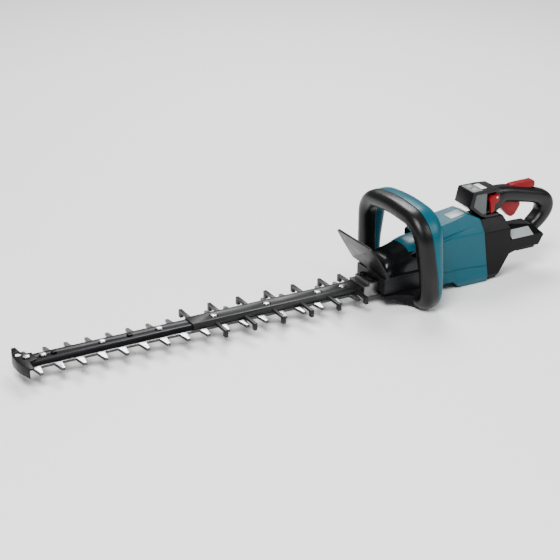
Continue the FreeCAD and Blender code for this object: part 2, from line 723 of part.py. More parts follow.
def housing_half(name, side):
    """One clamshell half of the main housing, with a wall all round, open at the middle and at the front."""
    half = s.house_half
    wall = s.house_wall
    top = s.house_top
    front = s.house_front
    case_rear = s.case_rear + 19
    low_front = s.case_high + s.cover_thick + 0.3
    motor_rear = motor_x + s.stator_radius + 3.5
    outline = [(front, low_front), (case_rear, low_front), (case_rear, s.chin), (s.foot_front - 18, s.chin),
               (s.foot_front, 0), (seam_x(size(0)), 0), (seam_x(top - 11), top - 11),
               (s.foot_front + 19, top + 0.5),
               (s.foot_front - 15, top - 6), (s.foot_front - 45, top - 10), (front, s.cover_crown)]
    inner = [(front - 1, low_front - 1), (motor_rear, low_front - 1), (motor_rear, low_front + wall),
             (case_rear + wall, low_front + wall), (case_rear + wall, s.chin + wall),
             (s.foot_front - 16, s.chin + wall), (s.foot_front + 2, wall), (seam_x(size(3)) - wall - 1, wall),
             (seam_x(top - 15) - wall - 1, top - 15), (s.foot_front + 18, top + 0.5 - wall),
             (s.foot_front - 15, top - 6 - wall), (s.foot_front - 44, top - 10 - wall),
             (front - 1, s.cover_crown - wall)]
    section = both_sides([(half - 5, -1), (half, 12), (half, s.shoulder), (s.top_half, top + 2)])
    hollow = both_sides([(half - 5 - wall, -2), (half - wall, 12), (half - wall, s.shoulder - 2),
                         (s.top_half - 2, top + 3)])
    reach = s.seam_foot + 20
    low, high = (0, half + 1) if side == 1 else (-half - 1, 0)
    shell = overlap(prism("XZ", [outline], low, high), prism("YZ", [section], front - 1, reach))
    space = overlap(prism("XZ", [inner], low, high), prism("YZ", [hollow], front - 2, reach))
    bore = swivel_rod(s.swivel_radius + 0.02, -30, 30)
    return keep(name, cut(shell, space, bore))


def swivel_rod(radius, start, end):
    """A cylinder on the swivel's axis, which leans with the seam plane."""
    made = doc.addObject("Part::Cylinder", "SwivelRod")
    bind(made, "Radius", radius)
    bind(made, "Height", size(end) - start)
    lean = s.seam_tilt.value
    made.Placement = Placement(Vector(0, 0, 0), Rotation(Vector(0, 1, 0), 90 - lean))
    made.setExpression("Placement.Rotation",
                       "create(<<rotation>>; create(<<vector>>; 0; 1; 0); 90 - Sizes.seam_tilt)")
    bind(made, "Placement.Base.x", seam_x(s.swivel_high) + size(start) * Size(math.cos(math.radians(lean)),
                                                                              "cos(Sizes.seam_tilt * 1deg)"))
    bind(made, "Placement.Base.z", s.swivel_high + size(start) * Size(math.sin(math.radians(lean)),
                                                                      "sin(Sizes.seam_tilt * 1deg)"))
    return made


def swivel_ring(outer, inner, start, end):
    return cut(swivel_rod(outer, start, end), swivel_rod(inner, size(start) - 1, size(end) + 1))


housing_half("housing_left", -1)
housing_half("housing_right", 1)

# the tube is fixed in the main housing; the rear handle turns on it
tube_start = Size(-12, "-12")
tube_end = Size(14, "14")
keep("swivel_tube", fuse(swivel_ring(s.swivel_radius, s.swivel_bore, tube_start, tube_end),
                         swivel_ring(s.swivel_radius + 4, s.swivel_radius - 1, tube_start, tube_start + 4)))
keep("swivel_clip", swivel_ring(s.swivel_radius + 4, s.swivel_radius, tube_end - 3, tube_end - 0.5))


def base_skirt():
    """The black pan under the gear case, with an arm out to each leg of the front handle."""
    front = s.case_front - 3
    rear = s.case_rear + 18
    case = s.case_half + 0.3
    leg = s.loop_half - s.loop_radius
    arm_front = s.loop_x - 22
    arm_rear = s.loop_x + 17
    plan = [(front, -case - 4), (arm_front - 16, -case - 8), (arm_front - 2, -case - 16),
            (arm_front + 6, -leg + 13),
            (arm_front + 8, -leg),
            (arm_rear, -leg), (arm_rear + 10, -leg + 12), (rear, -case - 3)]
    plan = plan + [(x, -size(y)) for x, y in reversed(plan)]
    top = s.skirt_high
    pan = prism("XY", [plan], 0, top)
    pocket = box((s.case_front - 0.3, s.case_rear + 0.3), (-case, case), (s.case_low - 0.3, top + 1))
    mouth = box((front - 1, s.case_front + 1), (-s.bracket_half - 1, s.bracket_half + 1),
                (s.bracket_low - 1.5, top + 1))
    room = s.loop_radius + 0.2
    legs = loop_solid("leg_room", room, s.loop_wrap, s.loop_back + 0.2, room)
    return keep("base_skirt", cut(pan, pocket, mouth, legs, nose_wedge(130)))


def corner_arc(before, corner, after, radius):
    """The arc that rounds one corner of a route, as its two ends and its middle."""
    back = (before - corner).normalize()
    ahead = (after - corner).normalize()
    half_turn = back.getAngle(ahead) / 2
    reach = radius / math.tan(half_turn)
    middle_way = (back + ahead).normalize()
    centre = corner + middle_way * (radius / math.sin(half_turn))
    return corner + back * reach, centre - middle_way * radius, corner + ahead * reach


def rounded_route(corners, radii):
    """Straight runs joined by tangent arcs."""
    edges = []
    here = corners[0]
    for index in range(1, len(corners) - 1):
        start, middle, end = corner_arc(corners[index - 1], corners[index], corners[index + 1],
                                        radii[index - 1])
        if here.distanceToPoint(start) > 1e-6:
            edges.append(Part.LineSegment(here, start).toShape())
        edges.append(Part.Arc(start, middle, end).toShape())
        here = end
    edges.append(Part.LineSegment(here, corners[-1]).toShape())
    return Part.Wire(edges)


def loop_route():
    """The middle line of the front handle, in its own upright plane."""
    half = s.loop_half.value
    foot = s.loop_foot.value
    high = s.loop_high.value - s.loop_radius.value
    end = s.loop_foot_end.value
    left = [(-end, foot), (-half - 2, foot), (-half, foot + 58), (-half + 14, high - 8), (0, high + 1)]
    right = [(-y, z) for y, z in reversed(left[:-1])]
    corners = [Vector(0, y, z) for y, z in left + right]
    radii = [24, 150, s.loop_corner.value, 320, s.loop_corner.value, 150, 24]
    return rounded_route(corners, radii)


def loop_solid(name, front, split, back, half_wide):
    """A bar along the front handle's route: round in front, straight-sided to the split, round behind."""
    half = float(half_wide)
    front, split, back = float(front), float(split), float(back)
    middle = Vector(0, -s.loop_foot_end.value, s.loop_foot.value)

    def at(depth, height):
        return middle + Vector(depth, 0, height)

    edges = []
    if front:
        edges.append(half_ellipse(at(0, -half), at(-front, 0), at(0, half)))
        edges.append(Part.LineSegment(at(0, half), at(split, half)).toShape())
    else:
        edges.append(Part.LineSegment(at(split, -half), at(split, half)).toShape())
    if back > split:
        edges.append(half_ellipse(at(split, half), at(back, 0), at(split, -half)))
    else:
        edges.append(Part.LineSegment(at(split, half), at(split, -half)).toShape())
    if front:
        edges.append(Part.LineSegment(at(split, -half), at(0, -half)).toShape())
    made = doc.addObject("Part::Feature", name)
    made.Shape = loop_route().makePipeShell([Part.Wire(edges)], True, False, 0)
    lean = Rotation(Vector(0, 1, 0), -s.loop_lean.value)
    made.Placement = Placement(Vector(s.loop_x.value, 0, 0), lean)
    return made


def leaned(depth, height):
    """A place in the front handle's leaning plane, by depth behind it and height along it."""
    lean = math.radians(s.loop_lean.value)
    cosine = Size(math.cos(lean), "cos(Sizes.loop_lean * 1deg)")
    sine = Size(math.sin(lean), "sin(Sizes.loop_lean * 1deg)")
    return s.loop_x + size(depth) * cosine - size(height) * sine, size(depth) * sine + size(height) * cosine


def half_ellipse(start, far, end):
    """Half an ellipse from one end over its far point to the other end."""
    centre = (start + end) * 0.5
    out = far - centre
    up = start - centre
    weight = math.sqrt(0.5)
    curve = Part.BSplineCurve()
    poles = [start, centre + up + out, far, centre - up + out, end]
    curve.buildFromPolesMultsKnots(poles, [3, 2, 3], [0, 1, 2], False, 2, [1, weight, 1, weight, 1])
    return curve.toShape()




def handle_back():
    """The coloured fin behind the grip, deep at the top and shallow at the feet."""
    fin = loop_solid("fin", 0, s.loop_wrap, s.loop_back, s.loop_radius)
    beyond = s.loop_back + 60
    behind = [(s.loop_foot_back, -40), (s.loop_foot_back, 25), (s.loop_back, s.loop_high - 30),
              (s.loop_back + 6, s.loop_high),
              (beyond, s.loop_high), (beyond, -40)]
    reach = s.loop_half + 20
    return keep("handle_back", cut(fin, prism("XZ", [[leaned(*point) for point in behind]], -reach, reach)))


keep("handle_grip", loop_solid("handle_grip", s.loop_radius, s.loop_wrap, s.loop_wrap, s.loop_radius))
handle_back()
base_skirt()


def hand_guard():
    """The sloping shield in front of the front handle, with a foot on the gear cover."""
    half = s.hand_guard_half
    high = s.hand_guard_high
    seat = s.case_high + s.cover_thick
    face = both_sides([(38, -6), (41, 4), (half - 1, 6), (half, 10), (half - 1, high - 24),
                       (half - 4, high - 4), (half - 10, high)])
    made = prism("YZ", [face], 0, s.hand_guard_thick)
    lean = s.guard_lean.value
    made.Placement = Placement(Vector(0, 0, 0), Rotation(Vector(0, 1, 0), -lean))
    cosine = Size(math.cos(math.radians(lean)), "cos(Sizes.guard_lean * 1deg)")
    foot_rear = s.case_front + 6.4
    bind(made, "Placement.Base.x", foot_rear - s.hand_guard_thick / cosine)
    bind(made, "Placement.Base.z", seat)
    below = box((s.case_front - 20, s.case_rear), (-half - 1, half + 1), (seat - 12, seat))
    foot = box((s.case_front + 0.5, foot_rear), (-16, 16), (seat, seat + 3))
    return keep("hand_guard", cut(fuse(made, foot), below))


hand_guard()


def pegs():
    """The key holder peg under the notch of the housing."""
    x = s.foot_front - 24
    return keep("key_peg", fuse(rod(4.0, x, -14, (s.chin - 7, s.chin)),
                                rod(5.5, x, -14, (s.chin - 10, s.chin - 7))))


pegs()
keep("controller", box((s.foot_front + 4, s.seam_foot - 28), (-26, 26), (8, 30)))
keep("controller_fins", fuse(box((s.foot_front + 6, s.seam_foot - 30), (-24, 24), (30, 32)),
                             *[box((s.foot_front + 6, s.seam_foot - 30), (y, y + 1.5),
                                   (31, 40)) for y in range(-24, 23, 5)]))

# ---------------------------------------------------------------- rear handle, which turns on the swivel
gap = s.seam_gap


def rear_base_half(name, side):
    """One half of the black base of the rear handle, with the battery bay under it."""
    half = s.rear_half
    wall = s.rear_wall
    low = s.rear_low
    neck_top = 122
    neck = [(seam_x(low) + gap, low), (s.seam_foot + 20, low), (s.seam_foot + 30, low + 14),
            (s.seam_foot + 49, s.bay_top - 6), (s.seam_foot + 49, 95), (s.seam_foot + 38, neck_top),
            (seam_x(size(neck_top)) + gap, neck_top)]
    neck_in = [(seam_x(low) + gap + wall + 1, low + wall), (s.seam_foot + 18.5, low + wall),
               (s.seam_foot + 27, low + 15), (s.seam_foot + 46, s.bay_top - 5), (s.seam_foot + 46, 93),
               (s.seam_foot + 36, neck_top - wall), (seam_x(size(neck_top)) + gap + wall + 1, neck_top - wall)]
    end = s.bar_end
    bar_top_z = 92
    bar = [(s.seam_foot + 49, s.bay_top - 6), (s.seam_foot + 72, s.bay_top), (end - 11, s.bay_top),
           (end, s.bay_top + 19), (end - 13, bar_top_z - 5), (s.seam_foot + 49, bar_top_z + 3)]
    bar_in = [(s.seam_foot + 52, s.bay_top - 2), (s.seam_foot + 72, s.bay_top + wall),
              (end - 13, s.bay_top + wall),
              (end - 3.5, s.bay_top + 19), (end - 14, bar_top_z - 5 - wall), (s.seam_foot + 52, bar_top_z)]
    neck_section = both_sides([(half - 4, low - 1), (half, low + 10), (half, 98), (24, neck_top + 1)])
    neck_hollow = both_sides([(half - 4 - wall, low - 2), (half - wall, low + 10), (half - wall, 97),
                              (22, neck_top + 2)])
    bar_section = both_sides([(half, s.bay_top - 8), (half, 74), (9, 92), (9, bar_top_z + 4)])
    bar_hollow = both_sides([(half - wall, s.bay_top - 9), (half - wall, 72.4), (7.5, 89.4),
                             (7.5, bar_top_z + 3)])
    low_y, high_y = (0, half + 1) if side == 1 else (-half - 1, 0)
    start = s.seam_foot - 30
    stop = end + 5
    outer = fuse(overlap(prism("XZ", [neck], low_y, high_y), prism("YZ", [neck_section], start, stop)),
                 overlap(prism("XZ", [bar], low_y, high_y), prism("YZ", [bar_section], start, stop)))
    inner = overlap(prism("XZ", [neck_in], low_y, high_y), prism("YZ", [neck_hollow], start, stop))
    inner_bar = overlap(prism("XZ", [bar_in], low_y, high_y), prism("YZ", [bar_hollow], start, stop))
    bore = swivel_rod(s.swivel_radius + s.swivel_fit, -5, 10)
    return keep(name, cut(outer, inner, inner_bar, bore))


rear_base_half("rear_base_left", -1)
rear_base_half("rear_base_right", 1)


def grip_half(name, side):
    """One half of the closed rear grip, hollow along its top bar and slotted for the two levers."""
    half = s.grip_half
    wall = s.grip_wall
    x0 = s.seam_foot
    outline = [(x0 + 38, 123), (x0 + 49, 96), (x0 + 58, 95.5), (x0 + 58, 116), (x0 + 110, 112),
               (x0 + 116.6, 87.9),
               (x0 + 130.2, 71.5), (x0 + 140, 73), (x0 + 152, 81), (x0 + 163, 93), (x0 + 170, 105),
               (x0 + 171.5, 116),
               (x0 + 168, 130), (x0 + 158, 141), (x0 + 144, 148.5), (x0 + 124, 155), (x0 + 93, 162),
               (x0 + 62, 170),
               (x0 + 29, 173), (x0 + 29, 123)]
    hole = [(x0 + 50, 118), (x0 + 56, 97), (x0 + 56, 94), (x0 + 113, 80), (x0 + 117, 88.3), (x0 + 129, 97),
            (x0 + 135.5, 106),
            (x0 + 136, 116), (x0 + 130, 123.5), (x0 + 112, 128), (x0 + 78, 134), (x0 + 45, 140), (x0 + 42, 132)]
    channel = [(x0 + 32, 126), (x0 + 40, 126), (x0 + 42, 143), (x0 + 79, 137), (x0 + 112, 131.5),
               (x0 + 134, 127),
               (x0 + 148, 118), (x0 + 160, 122), (x0 + 152, 138), (x0 + 122, 151), (x0 + 92, 158),
               (x0 + 61, 166), (x0 + 32, 169)]
    low_y, high_y = (0, half) if side == 1 else (-half, 0)
    low_in, high_in = (0, half - wall) if side == 1 else (-half + wall, 0)
    solid = cut(prism("XZ", [outline], low_y, high_y), prism("XZ", [hole], low_y - 1, high_y + 1),
                prism("XZ", [channel], low_in, high_in))
    finger_slot = box((x0 + 40, x0 + 94), (-s.trigger_half - 0.5, s.trigger_half + 0.5), (124, 146))
    thumb_slot = box((x0 + 62, x0 + 126), (-s.lock_half - 0.5, s.lock_half + 0.5), (150, 180))
    return keep(name, cut(solid, finger_slot, thumb_slot))


grip_half("grip_left", -1)
grip_half("grip_right", 1)


def console():
    """The control box on top, whose front hangs over the main housing."""
    x0 = s.seam_foot
    half = s.console_half
    wall = s.console_wall
    top = s.console_high
    front = s.console_front
    rear = x0 + 28.5
    side = [(front, 149), (front + 7, top), (front + 44, top), (rear, top - 2), (rear, 123), (x0 + 0, 123),
            (x0 - 12, 127.5)]
    inner = [(front + wall, 149), (front + 6 + wall, top - wall), (front + 43, top - wall),
             (rear - wall, top - 3 - wall),
             (rear - wall, 123 + wall), (x0, 123 + wall), (x0 - 11, 127.5 + wall)]
    solid = cut(prism("XZ", [side], -half, half), prism("XZ", [inner], -half + wall, half - wall))
    pocket = box((x0 - 1, rear + 1), (-half - 1, -half + 6), (128, 171))
    wall_back = box((x0 - 4, rear), (-half + 6, -half + 8), (125, 171))
    holes = [rod(5.2, x, y, (top - 9, top + 4)) for x, y in button_places()]
    return keep("console", cut(fuse(cut(solid, pocket), overlap(wall_back, prism("XZ", [side], -half, half))),
                               *holes))


def button_places():
    x = s.console_front + 20
    return [(x, -9), (x, 9)]


console()


def button(name, number):
    """A round key with a skirt that keeps it in the console."""
    x, y = button_places()[number]
    top = s.console_high
    key = rod(4.9, x, y, (top - 8, top + 0.6))
    flange = rod(6.5, x, y, (top - 8, top - 6))
    return keep(name, fuse(key, flange))


button("power_button", 0)
button("mode_button", 1)


def button_springs():
    top = s.console_high
    return group("button_springs", [ring(Size(4, "4"), Size(3, "3"), x, y, (top - 14, top - 8.9)) for x,
                                    y in button_places()])


button_springs()
keep("button_board", box((s.console_front + 11, s.console_front + 30), (-20, 20),
                         (s.console_high - 16, s.console_high - 14)))


def status_lens():
    x = s.console_front + 38
    top = s.console_high
    return keep("status_lens", box((x - 5, x + 7), (-13, 13), (top, top + 0.8)))


status_lens()


def release_lever():
    """The red lever on the left of the console that frees the swivel."""
    x0 = s.seam_foot
    y_out = -s.console_half - 2
    plan = [(x0 + 3, 158), (x0 + 6, 165), (x0 + 26, 166), (x0 + 25.5, 152), (x0 + 17, 148), (x0 + 15, 133),
            (x0 + 8, 131), (x0 + 6, 150)]
    plate = prism("XZ", [plan], y_out, y_out + 5)
    hub = pin_like(5.0, x0 + 21, 160, y_out, -s.console_half + 5.6)
    bore = pin_like(s.pin_radius + s.pin_fit, x0 + 21, 160, y_out - 1, -s.console_half + 7)
    return keep("release_lever", cut(fuse(plate, hub), bore))


def pin_like(radius, x, z, low, high):
    made = doc.addObject("Part::Cylinder", "Pin")
    bind(made, "Radius", radius)
    bind(made, "Height", size(high) - low)
    return place(made, x, low, z, Rotation(Vector(1, 0, 0), -90))


release_lever()

# trigger and thumb lever
trigger_x = s.seam_foot + 47
trigger_z = 142.5
thumb_x = s.seam_foot + 68
thumb_z = 161


def trigger():
    half = s.trigger_half
    x0 = s.seam_foot
    side = [(x0 + 43, 140), (x0 + 43, 133), (x0 + 56, 119), (x0 + 67, 108), (x0 + 73, 106.5), (x0 + 79, 109),
            (x0 + 86, 118),
            (x0 + 91, 127), (x0 + 91, 131), (x0 + 83, 137), (x0 + 52, 146), (x0 + 45, 146)]
    bore = pin_across(s.pin_radius + s.pin_fit, trigger_x, trigger_z, half + 1)
    return keep("trigger", cut(prism("XZ", [side], -half, half), bore))


trigger()


def thumb_lever():
    half = s.lock_half
    x0 = s.seam_foot
    side = [(x0 + 64, 157), (x0 + 64, 167), (x0 + 67, 170.5), (x0 + 86, 171.5), (x0 + 108, 171.5),
            (x0 + 118, 172), (x0 + 122, 169),
            (x0 + 123, 161), (x0 + 121, 158.5), (x0 + 110, 157), (x0 + 92, 156.5)]
    bore = pin_across(s.pin_radius + s.pin_fit, thumb_x, thumb_z, half + 1)
    return keep("thumb_lever", cut(prism("XZ", [side], -half, half), bore))


thumb_lever()
group("lever_pins", [pin_across(s.pin_radius, trigger_x, trigger_z, s.trigger_half + 6),
                     pin_across(s.pin_radius, thumb_x, thumb_z, s.lock_half + 5),
                     pin_like(s.pin_radius, s.seam_foot + 21, 160, -s.console_half - 1.5, -s.console_half + 6)])


def coil_spring(name, x, z, turns):
    """A compression spring on a vertical axis, with the same wire and pitch for both levers."""
    wire = 0.8
    radius = 2.6
    pitch = 1.84
    helix = Part.makeHelix(pitch, pitch * turns, radius)
    section = Part.Wire(Part.Circle(helix.Vertexes[0].Point, Vector(0, 1, 0), wire / 2).toShape())
    made = doc.addObject("Part::Feature", name)
    made.Shape = Part.Wire(helix).makePipeShell([section], True, True)
    made.Placement = Placement(Vector(float(x), 0, float(z) + wire / 2), Rotation())
    return keep(name, made)


coil_spring("trigger_spring", s.seam_foot + 74, 140.4, 5)
coil_spring("thumb_spring", s.seam_foot + 104, 148.4, 4)
keep("switch", box((s.seam_foot + 44, s.seam_foot + 61), (-8, 8), (151, 160)))


# ---------------------------------------------------------------- battery interface, plates and screws

def battery_rails():
    """Two rails under the bar that a pack slides onto from behind."""
    low = s.bay_top - 8
    front = s.seam_foot + 73
    back = s.bar_end - 14
    rails = []
    for side in (-1, 1):
        web = box((front, back), sorted_pair(26 * side, 29 * side), (low, s.bay_top))
        lip = box((front, back), sorted_pair(22 * side, 29 * side), (low, low + 2.5))
        rails.append(fuse(web, lip))
    return group("battery_rails", rails)


def sorted_pair(first, second):
    return (first, second) if float(first) < float(second) else (second, first)


battery_rails()


def terminal_block():
    front = s.seam_foot + 73
    block = box((front, front + 20), (-18, 18), (s.bay_top - 7, s.bay_top))
    slots = [box((front + 5, front + 21), (y - 1, y + 1), (s.bay_top - 8, s.bay_top - 2)) for y in (-12, -4, 4,
                                                                                                    12)]
    return keep("terminal_block", cut(block, *slots))


terminal_block()


def battery_contacts():
    front = s.seam_foot + 73
    blades = [box((front + 5, front + 17), (y - 0.4, y + 0.4), (s.bay_top - 6.5, s.bay_top - 2)) for y in (-12,
                                                                                                           -4,
                                                                                                           4,
                                                                                                           12)]
    return group("battery_contacts", blades)


battery_contacts()


def top_plate():
    """A blank plate on the sloping top of the housing."""
    slope = math.degrees(math.atan2(6.5, 34))
    plate = box((0, 30), (-18, 6), (0, 0.7))
    x = s.foot_front - 13
    return keep("top_plate", place(plate, x, -18, s.house_top - 6 + 2 * math.tan(math.radians(slope)) + 0.02,
                                   Rotation(Vector(0, 1, 0), -slope)))


top_plate()


def rating_plates():
    """Blank plates on the slanted sides of the rear bar."""
    x = s.seam_foot + 79
    thick = 0.8
    facet = math.degrees(math.atan2(29, 18))
    made = []
    for side in (-1, 1):
        plate = box((0, 50), (0, thick), (0, 21))
        inner_edge = 0 if side == 1 else thick / math.cos(math.radians(facet))
        place(plate, x - 25, (s.rear_half - 1.65) * side - inner_edge, 75.1,
              Rotation(Vector(1, 0, 0), side * facet))
        made.append(plate)
    return group("rating_plates", made)


rating_plates()


def side_screw(x, z, half):
    """A screw head sunk in the right side wall."""
    return pin_like(3.5, x, z, half - 2.5, half + 0.8)


group("housing_screws", [side_screw(x, z, s.house_half) for x, z in (
    (s.foot_front + 10, 14), (s.foot_front - 40, 90), (s.foot_front + 10, 96), (s.seam_foot - 12, 20))])
base_screws = [side_screw(x, z, s.rear_half) for x, z in (
    (s.seam_foot + 14, 20), (s.seam_foot + 40, 90), (s.seam_foot + 100, 62))]
grip_screws = [side_screw(x, z, s.grip_half) for x, z in (
    (s.seam_foot + 43, 112), (s.seam_foot + 150, 100), (s.seam_foot + 140, 142))]
group("rear_screws", base_screws + grip_screws)


# ---------------------------------------------------------------- check and write

def test_document():
    doc.recompute()
    for thing in doc.Objects:
        if "Invalid" in thing.State or "Error" in thing.State:
            raise RuntimeError(f"{thing.Name} ({thing.Label}) did not compute: {thing.State}")
    for name, thing in nodes.items():
        if thing.Shape.isNull() or not thing.Shape.isValid():
            raise RuntimeError(f"{name} has no valid shape")


def write_parts():
    os.makedirs("parts", exist_ok=True)
    for name, thing in nodes.items():
        thing.Shape.exportStep(f"parts/{name}.step")


test_document()
write_parts()
print(f"{len(nodes)} parts written")
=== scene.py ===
"""Cordless hedge trimmer: softened mouldings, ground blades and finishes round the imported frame."""
import json
import math

import bpy
from bpy.props import FloatProperty, FloatVectorProperty, PointerProperty
from mathutils import Matrix, Vector


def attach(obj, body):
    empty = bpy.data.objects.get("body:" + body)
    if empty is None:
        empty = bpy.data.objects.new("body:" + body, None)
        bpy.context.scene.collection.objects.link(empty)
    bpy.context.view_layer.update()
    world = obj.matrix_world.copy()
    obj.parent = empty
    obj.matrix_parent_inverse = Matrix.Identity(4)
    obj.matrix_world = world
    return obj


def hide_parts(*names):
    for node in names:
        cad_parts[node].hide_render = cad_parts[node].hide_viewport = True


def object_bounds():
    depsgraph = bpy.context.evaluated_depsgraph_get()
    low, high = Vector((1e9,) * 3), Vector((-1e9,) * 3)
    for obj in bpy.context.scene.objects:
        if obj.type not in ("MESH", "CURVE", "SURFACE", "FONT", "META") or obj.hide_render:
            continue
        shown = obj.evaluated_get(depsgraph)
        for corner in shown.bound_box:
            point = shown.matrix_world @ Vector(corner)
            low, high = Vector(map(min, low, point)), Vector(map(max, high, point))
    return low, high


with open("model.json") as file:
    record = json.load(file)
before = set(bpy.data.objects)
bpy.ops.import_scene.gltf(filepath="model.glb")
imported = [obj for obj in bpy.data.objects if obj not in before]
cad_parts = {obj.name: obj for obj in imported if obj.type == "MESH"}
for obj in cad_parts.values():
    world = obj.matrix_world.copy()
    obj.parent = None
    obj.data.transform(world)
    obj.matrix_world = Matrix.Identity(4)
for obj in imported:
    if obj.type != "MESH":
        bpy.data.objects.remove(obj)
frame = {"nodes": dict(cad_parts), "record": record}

bl_info = {
    "name": "Hedge Trimmer Builder",
    "version": (1, 0, 0),
    "blender": (4, 5, 0),
    "location": "3D View > Sidebar > Trimmer",
    "description": "Builds the visible pieces and finishes of a cordless hedge trimmer",
    "category": "Object",
}

MM = 0.001
PARTING_LINE = 0.35 * MM
CAD_BOX = [list(corner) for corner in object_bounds()]
NODE_BODY = {node: body for body, nodes in frame["record"]["behaviour"]["bodies"].items() for node in nodes}


# ------------------------------------------------------------------ settings

def colour(name, description, default):
    return FloatVectorProperty(name=name, description=description, default=default, min=0, max=1,
                               subtype="COLOR")


def length(name, description, default):
    return FloatProperty(name=name, description=description, default=default, unit="LENGTH", subtype="DISTANCE")


class TrimmerColours(bpy.types.PropertyGroup):
    """Base colours of the mouldings and metals."""
    teal: colour("Housing", "Colour of the main housing and the back of the loop handle", (0.0, 0.068, 0.098))
    black: colour("Black plastic", "Colour of the covers and the rear handle", (0.0026, 0.0027, 0.0031))
    rubber: colour("Soft grip", "Colour of the rubber on the handles", (0.0022, 0.0023, 0.0026))
    guard: colour("Guard grey", "Colour of the hand guard and the blade guard", (0.0085, 0.0088, 0.0092))
    red: colour("Levers", "Colour of the trigger and the levers", (0.185, 0.0008, 0.004))
    steel: colour("Blade steel", "Colour of the ground blades", (0.42, 0.42, 0.41))
    zinc: colour("Zinc", "Colour of the bolts and screws", (0.66, 0.66, 0.65))
    plate: colour("Blank plates", "Colour of the blank plates", (0.27, 0.29, 0.30))


class TrimmerSizes(bpy.types.PropertyGroup):
    """Sizes of the shaping that is added to the frame."""
    soft_edge: length("Housing edge", "Rounding of the large mouldings' edges", 0.005)
    small_edge: length("Small edge", "Rounding of small pieces' edges", 0.0006)
    loop_radius: length("Loop radius", "Radius of the front handle's bar", 0.0155)
    loop_fin: length("Loop fin", "Depth of the coloured back of the loop at its top", 0.0435)
    loop_fin_foot: length("Loop fin at the foot", "Depth of the coloured back of the loop at its foot", 0.0228)


class TrimmerStage(bpy.types.PropertyGroup):
    """Camera and light."""
    azimuth: FloatProperty(name="Azimuth", description="Camera's way round the tool, in degrees",
                           default=-30.02)
    elevation: FloatProperty(name="Elevation", description="Camera's height angle, in degrees", default=23.73)
    roll: FloatProperty(name="Roll", description="Camera's roll, in degrees", default=0.70)
    lens: FloatProperty(name="Lens", description="Focal length in millimetres", default=96.36)
    key_power: FloatProperty(name="Key light", description="Power of the large soft light, in watts",
                             default=150.0)


# ------------------------------------------------------------------ mesh helpers

def nothing_selected():
    """Leave edit mode and deselect everything."""
    if bpy.context.object and bpy.context.object.mode != "OBJECT":
        bpy.ops.object.mode_set(mode="OBJECT")
    bpy.ops.object.select_all(action="DESELECT")


def only(piece):
    """Make one piece the only selected and active one."""
    nothing_selected()
    piece.select_set(True)
    bpy.context.view_layer.objects.active = piece


def apply(piece, kind, **values):
    """Add a modifier with its values and apply it."""
    only(piece)
    modifier = piece.modifiers.new(kind.title(), kind)
    for name, value in values.items():
        setattr(modifier, name, value)
    bpy.ops.object.modifier_apply(modifier=modifier.name)
    return piece


def round_edges(piece, width, segments=3, angle=28):
    """Bevel the sharp edges and shade the piece smooth."""
    apply(piece, "BEVEL", width=width, segments=segments, limit_method="ANGLE", angle_limit=math.radians(angle),
          use_clamp_overlap=True, harden_normals=False)
    return smooth(piece)


def smooth(piece, angle=34):
    """Shade the piece smooth, keeping edges sharper than the angle."""
    only(piece)
    bpy.ops.object.shade_smooth_by_angle(angle=math.radians(angle))
    return piece


def outward(piece):
    """Turn every face outward."""
    only(piece)
    bpy.ops.object.mode_set(mode="EDIT")
    bpy.ops.mesh.select_all(action="SELECT")
    bpy.ops.mesh.normals_make_consistent(inside=False)
    bpy.ops.object.mode_set(mode="OBJECT")
    return piece


def still(piece):
    """Put the piece's place, turn and size into its mesh."""
    only(piece)
    bpy.ops.object.transform_apply(location=True, rotation=True, scale=True)
    return piece


def slab(name, outline, plane, low, high):
    """A flat-sided solid: a polygon drawn in a row plane and extruded along its normal. Sizes in metres."""
    nothing_selected()
    bpy.ops.mesh.primitive_circle_add(vertices=len(outline), radius=0.01, fill_type="NGON")
    piece = bpy.context.object
    piece.name = name
    spots = {"XY": lambda u, v: (u, v, low), "XZ": lambda u, v: (u, low, v), "YZ": lambda u, v: (low, u, v)}
    for vertex, (u, v) in zip(piece.data.vertices, outline):
        vertex.co = spots[plane](u, v)
    way = {"XY": (0, 0, 1), "XZ": (0, 1, 0), "YZ": (1, 0, 0)}[plane]
    bpy.ops.object.mode_set(mode="EDIT")
    bpy.ops.mesh.select_all(action="SELECT")
    bpy.ops.mesh.extrude_region_move(TRANSFORM_OT_translate={"value": Vector(way) * (high - low)})
    bpy.ops.object.mode_set(mode="OBJECT")
    return outward(piece)


def grid(name, rows, columns, spot, ring=True, caps=True):
    """A sheet of rows and columns placed by a function; a ring closes on itself across its columns."""
    nothing_selected()
    bpy.ops.mesh.primitive_grid_add(x_subdivisions=columns - 1, y_subdivisions=rows - 1, size=0.01)
    piece = bpy.context.object
    piece.name = name
    for row in range(rows):
        for column in range(columns):
            piece.data.vertices[row * columns + column].co = spot(row, column)
    only(piece)
    bpy.ops.object.mode_set(mode="EDIT")
    bpy.ops.mesh.select_all(action="SELECT")
    if ring:
        bpy.ops.mesh.remove_doubles(threshold=1e-6)
    if caps:
        bpy.ops.mesh.fill_holes(sides=0)
    bpy.ops.object.mode_set(mode="OBJECT")
    return outward(piece)


def carve(piece, *cutters, keep="DIFFERENCE"):
    """Cut each cutter out of the piece and remove the cutter."""
    for cutter in cutters:
        apply(piece, "BOOLEAN", object=cutter, operation=keep, solver="EXACT")
        bpy.data.objects.remove(cutter, do_unlink=True)
    return piece


def smooth_run(points, count):
    """Places along a smooth line that control points pull towards them."""
    pieces = len(points) - 2
    run = []
    for step in range(count):
        along = step / (count - 1) * pieces
        index = min(int(along), pieces - 1)
        u = along - index
        start = points[0] if index == 0 else (points[index] + points[index + 1]) / 2
        end = points[-1] if index == pieces - 1 else (points[index + 1] + points[index + 2]) / 2
        run.append(start * (1 - u) ** 2 + points[index + 1] * (2 * u * (1 - u)) + end * u ** 2)
    return run


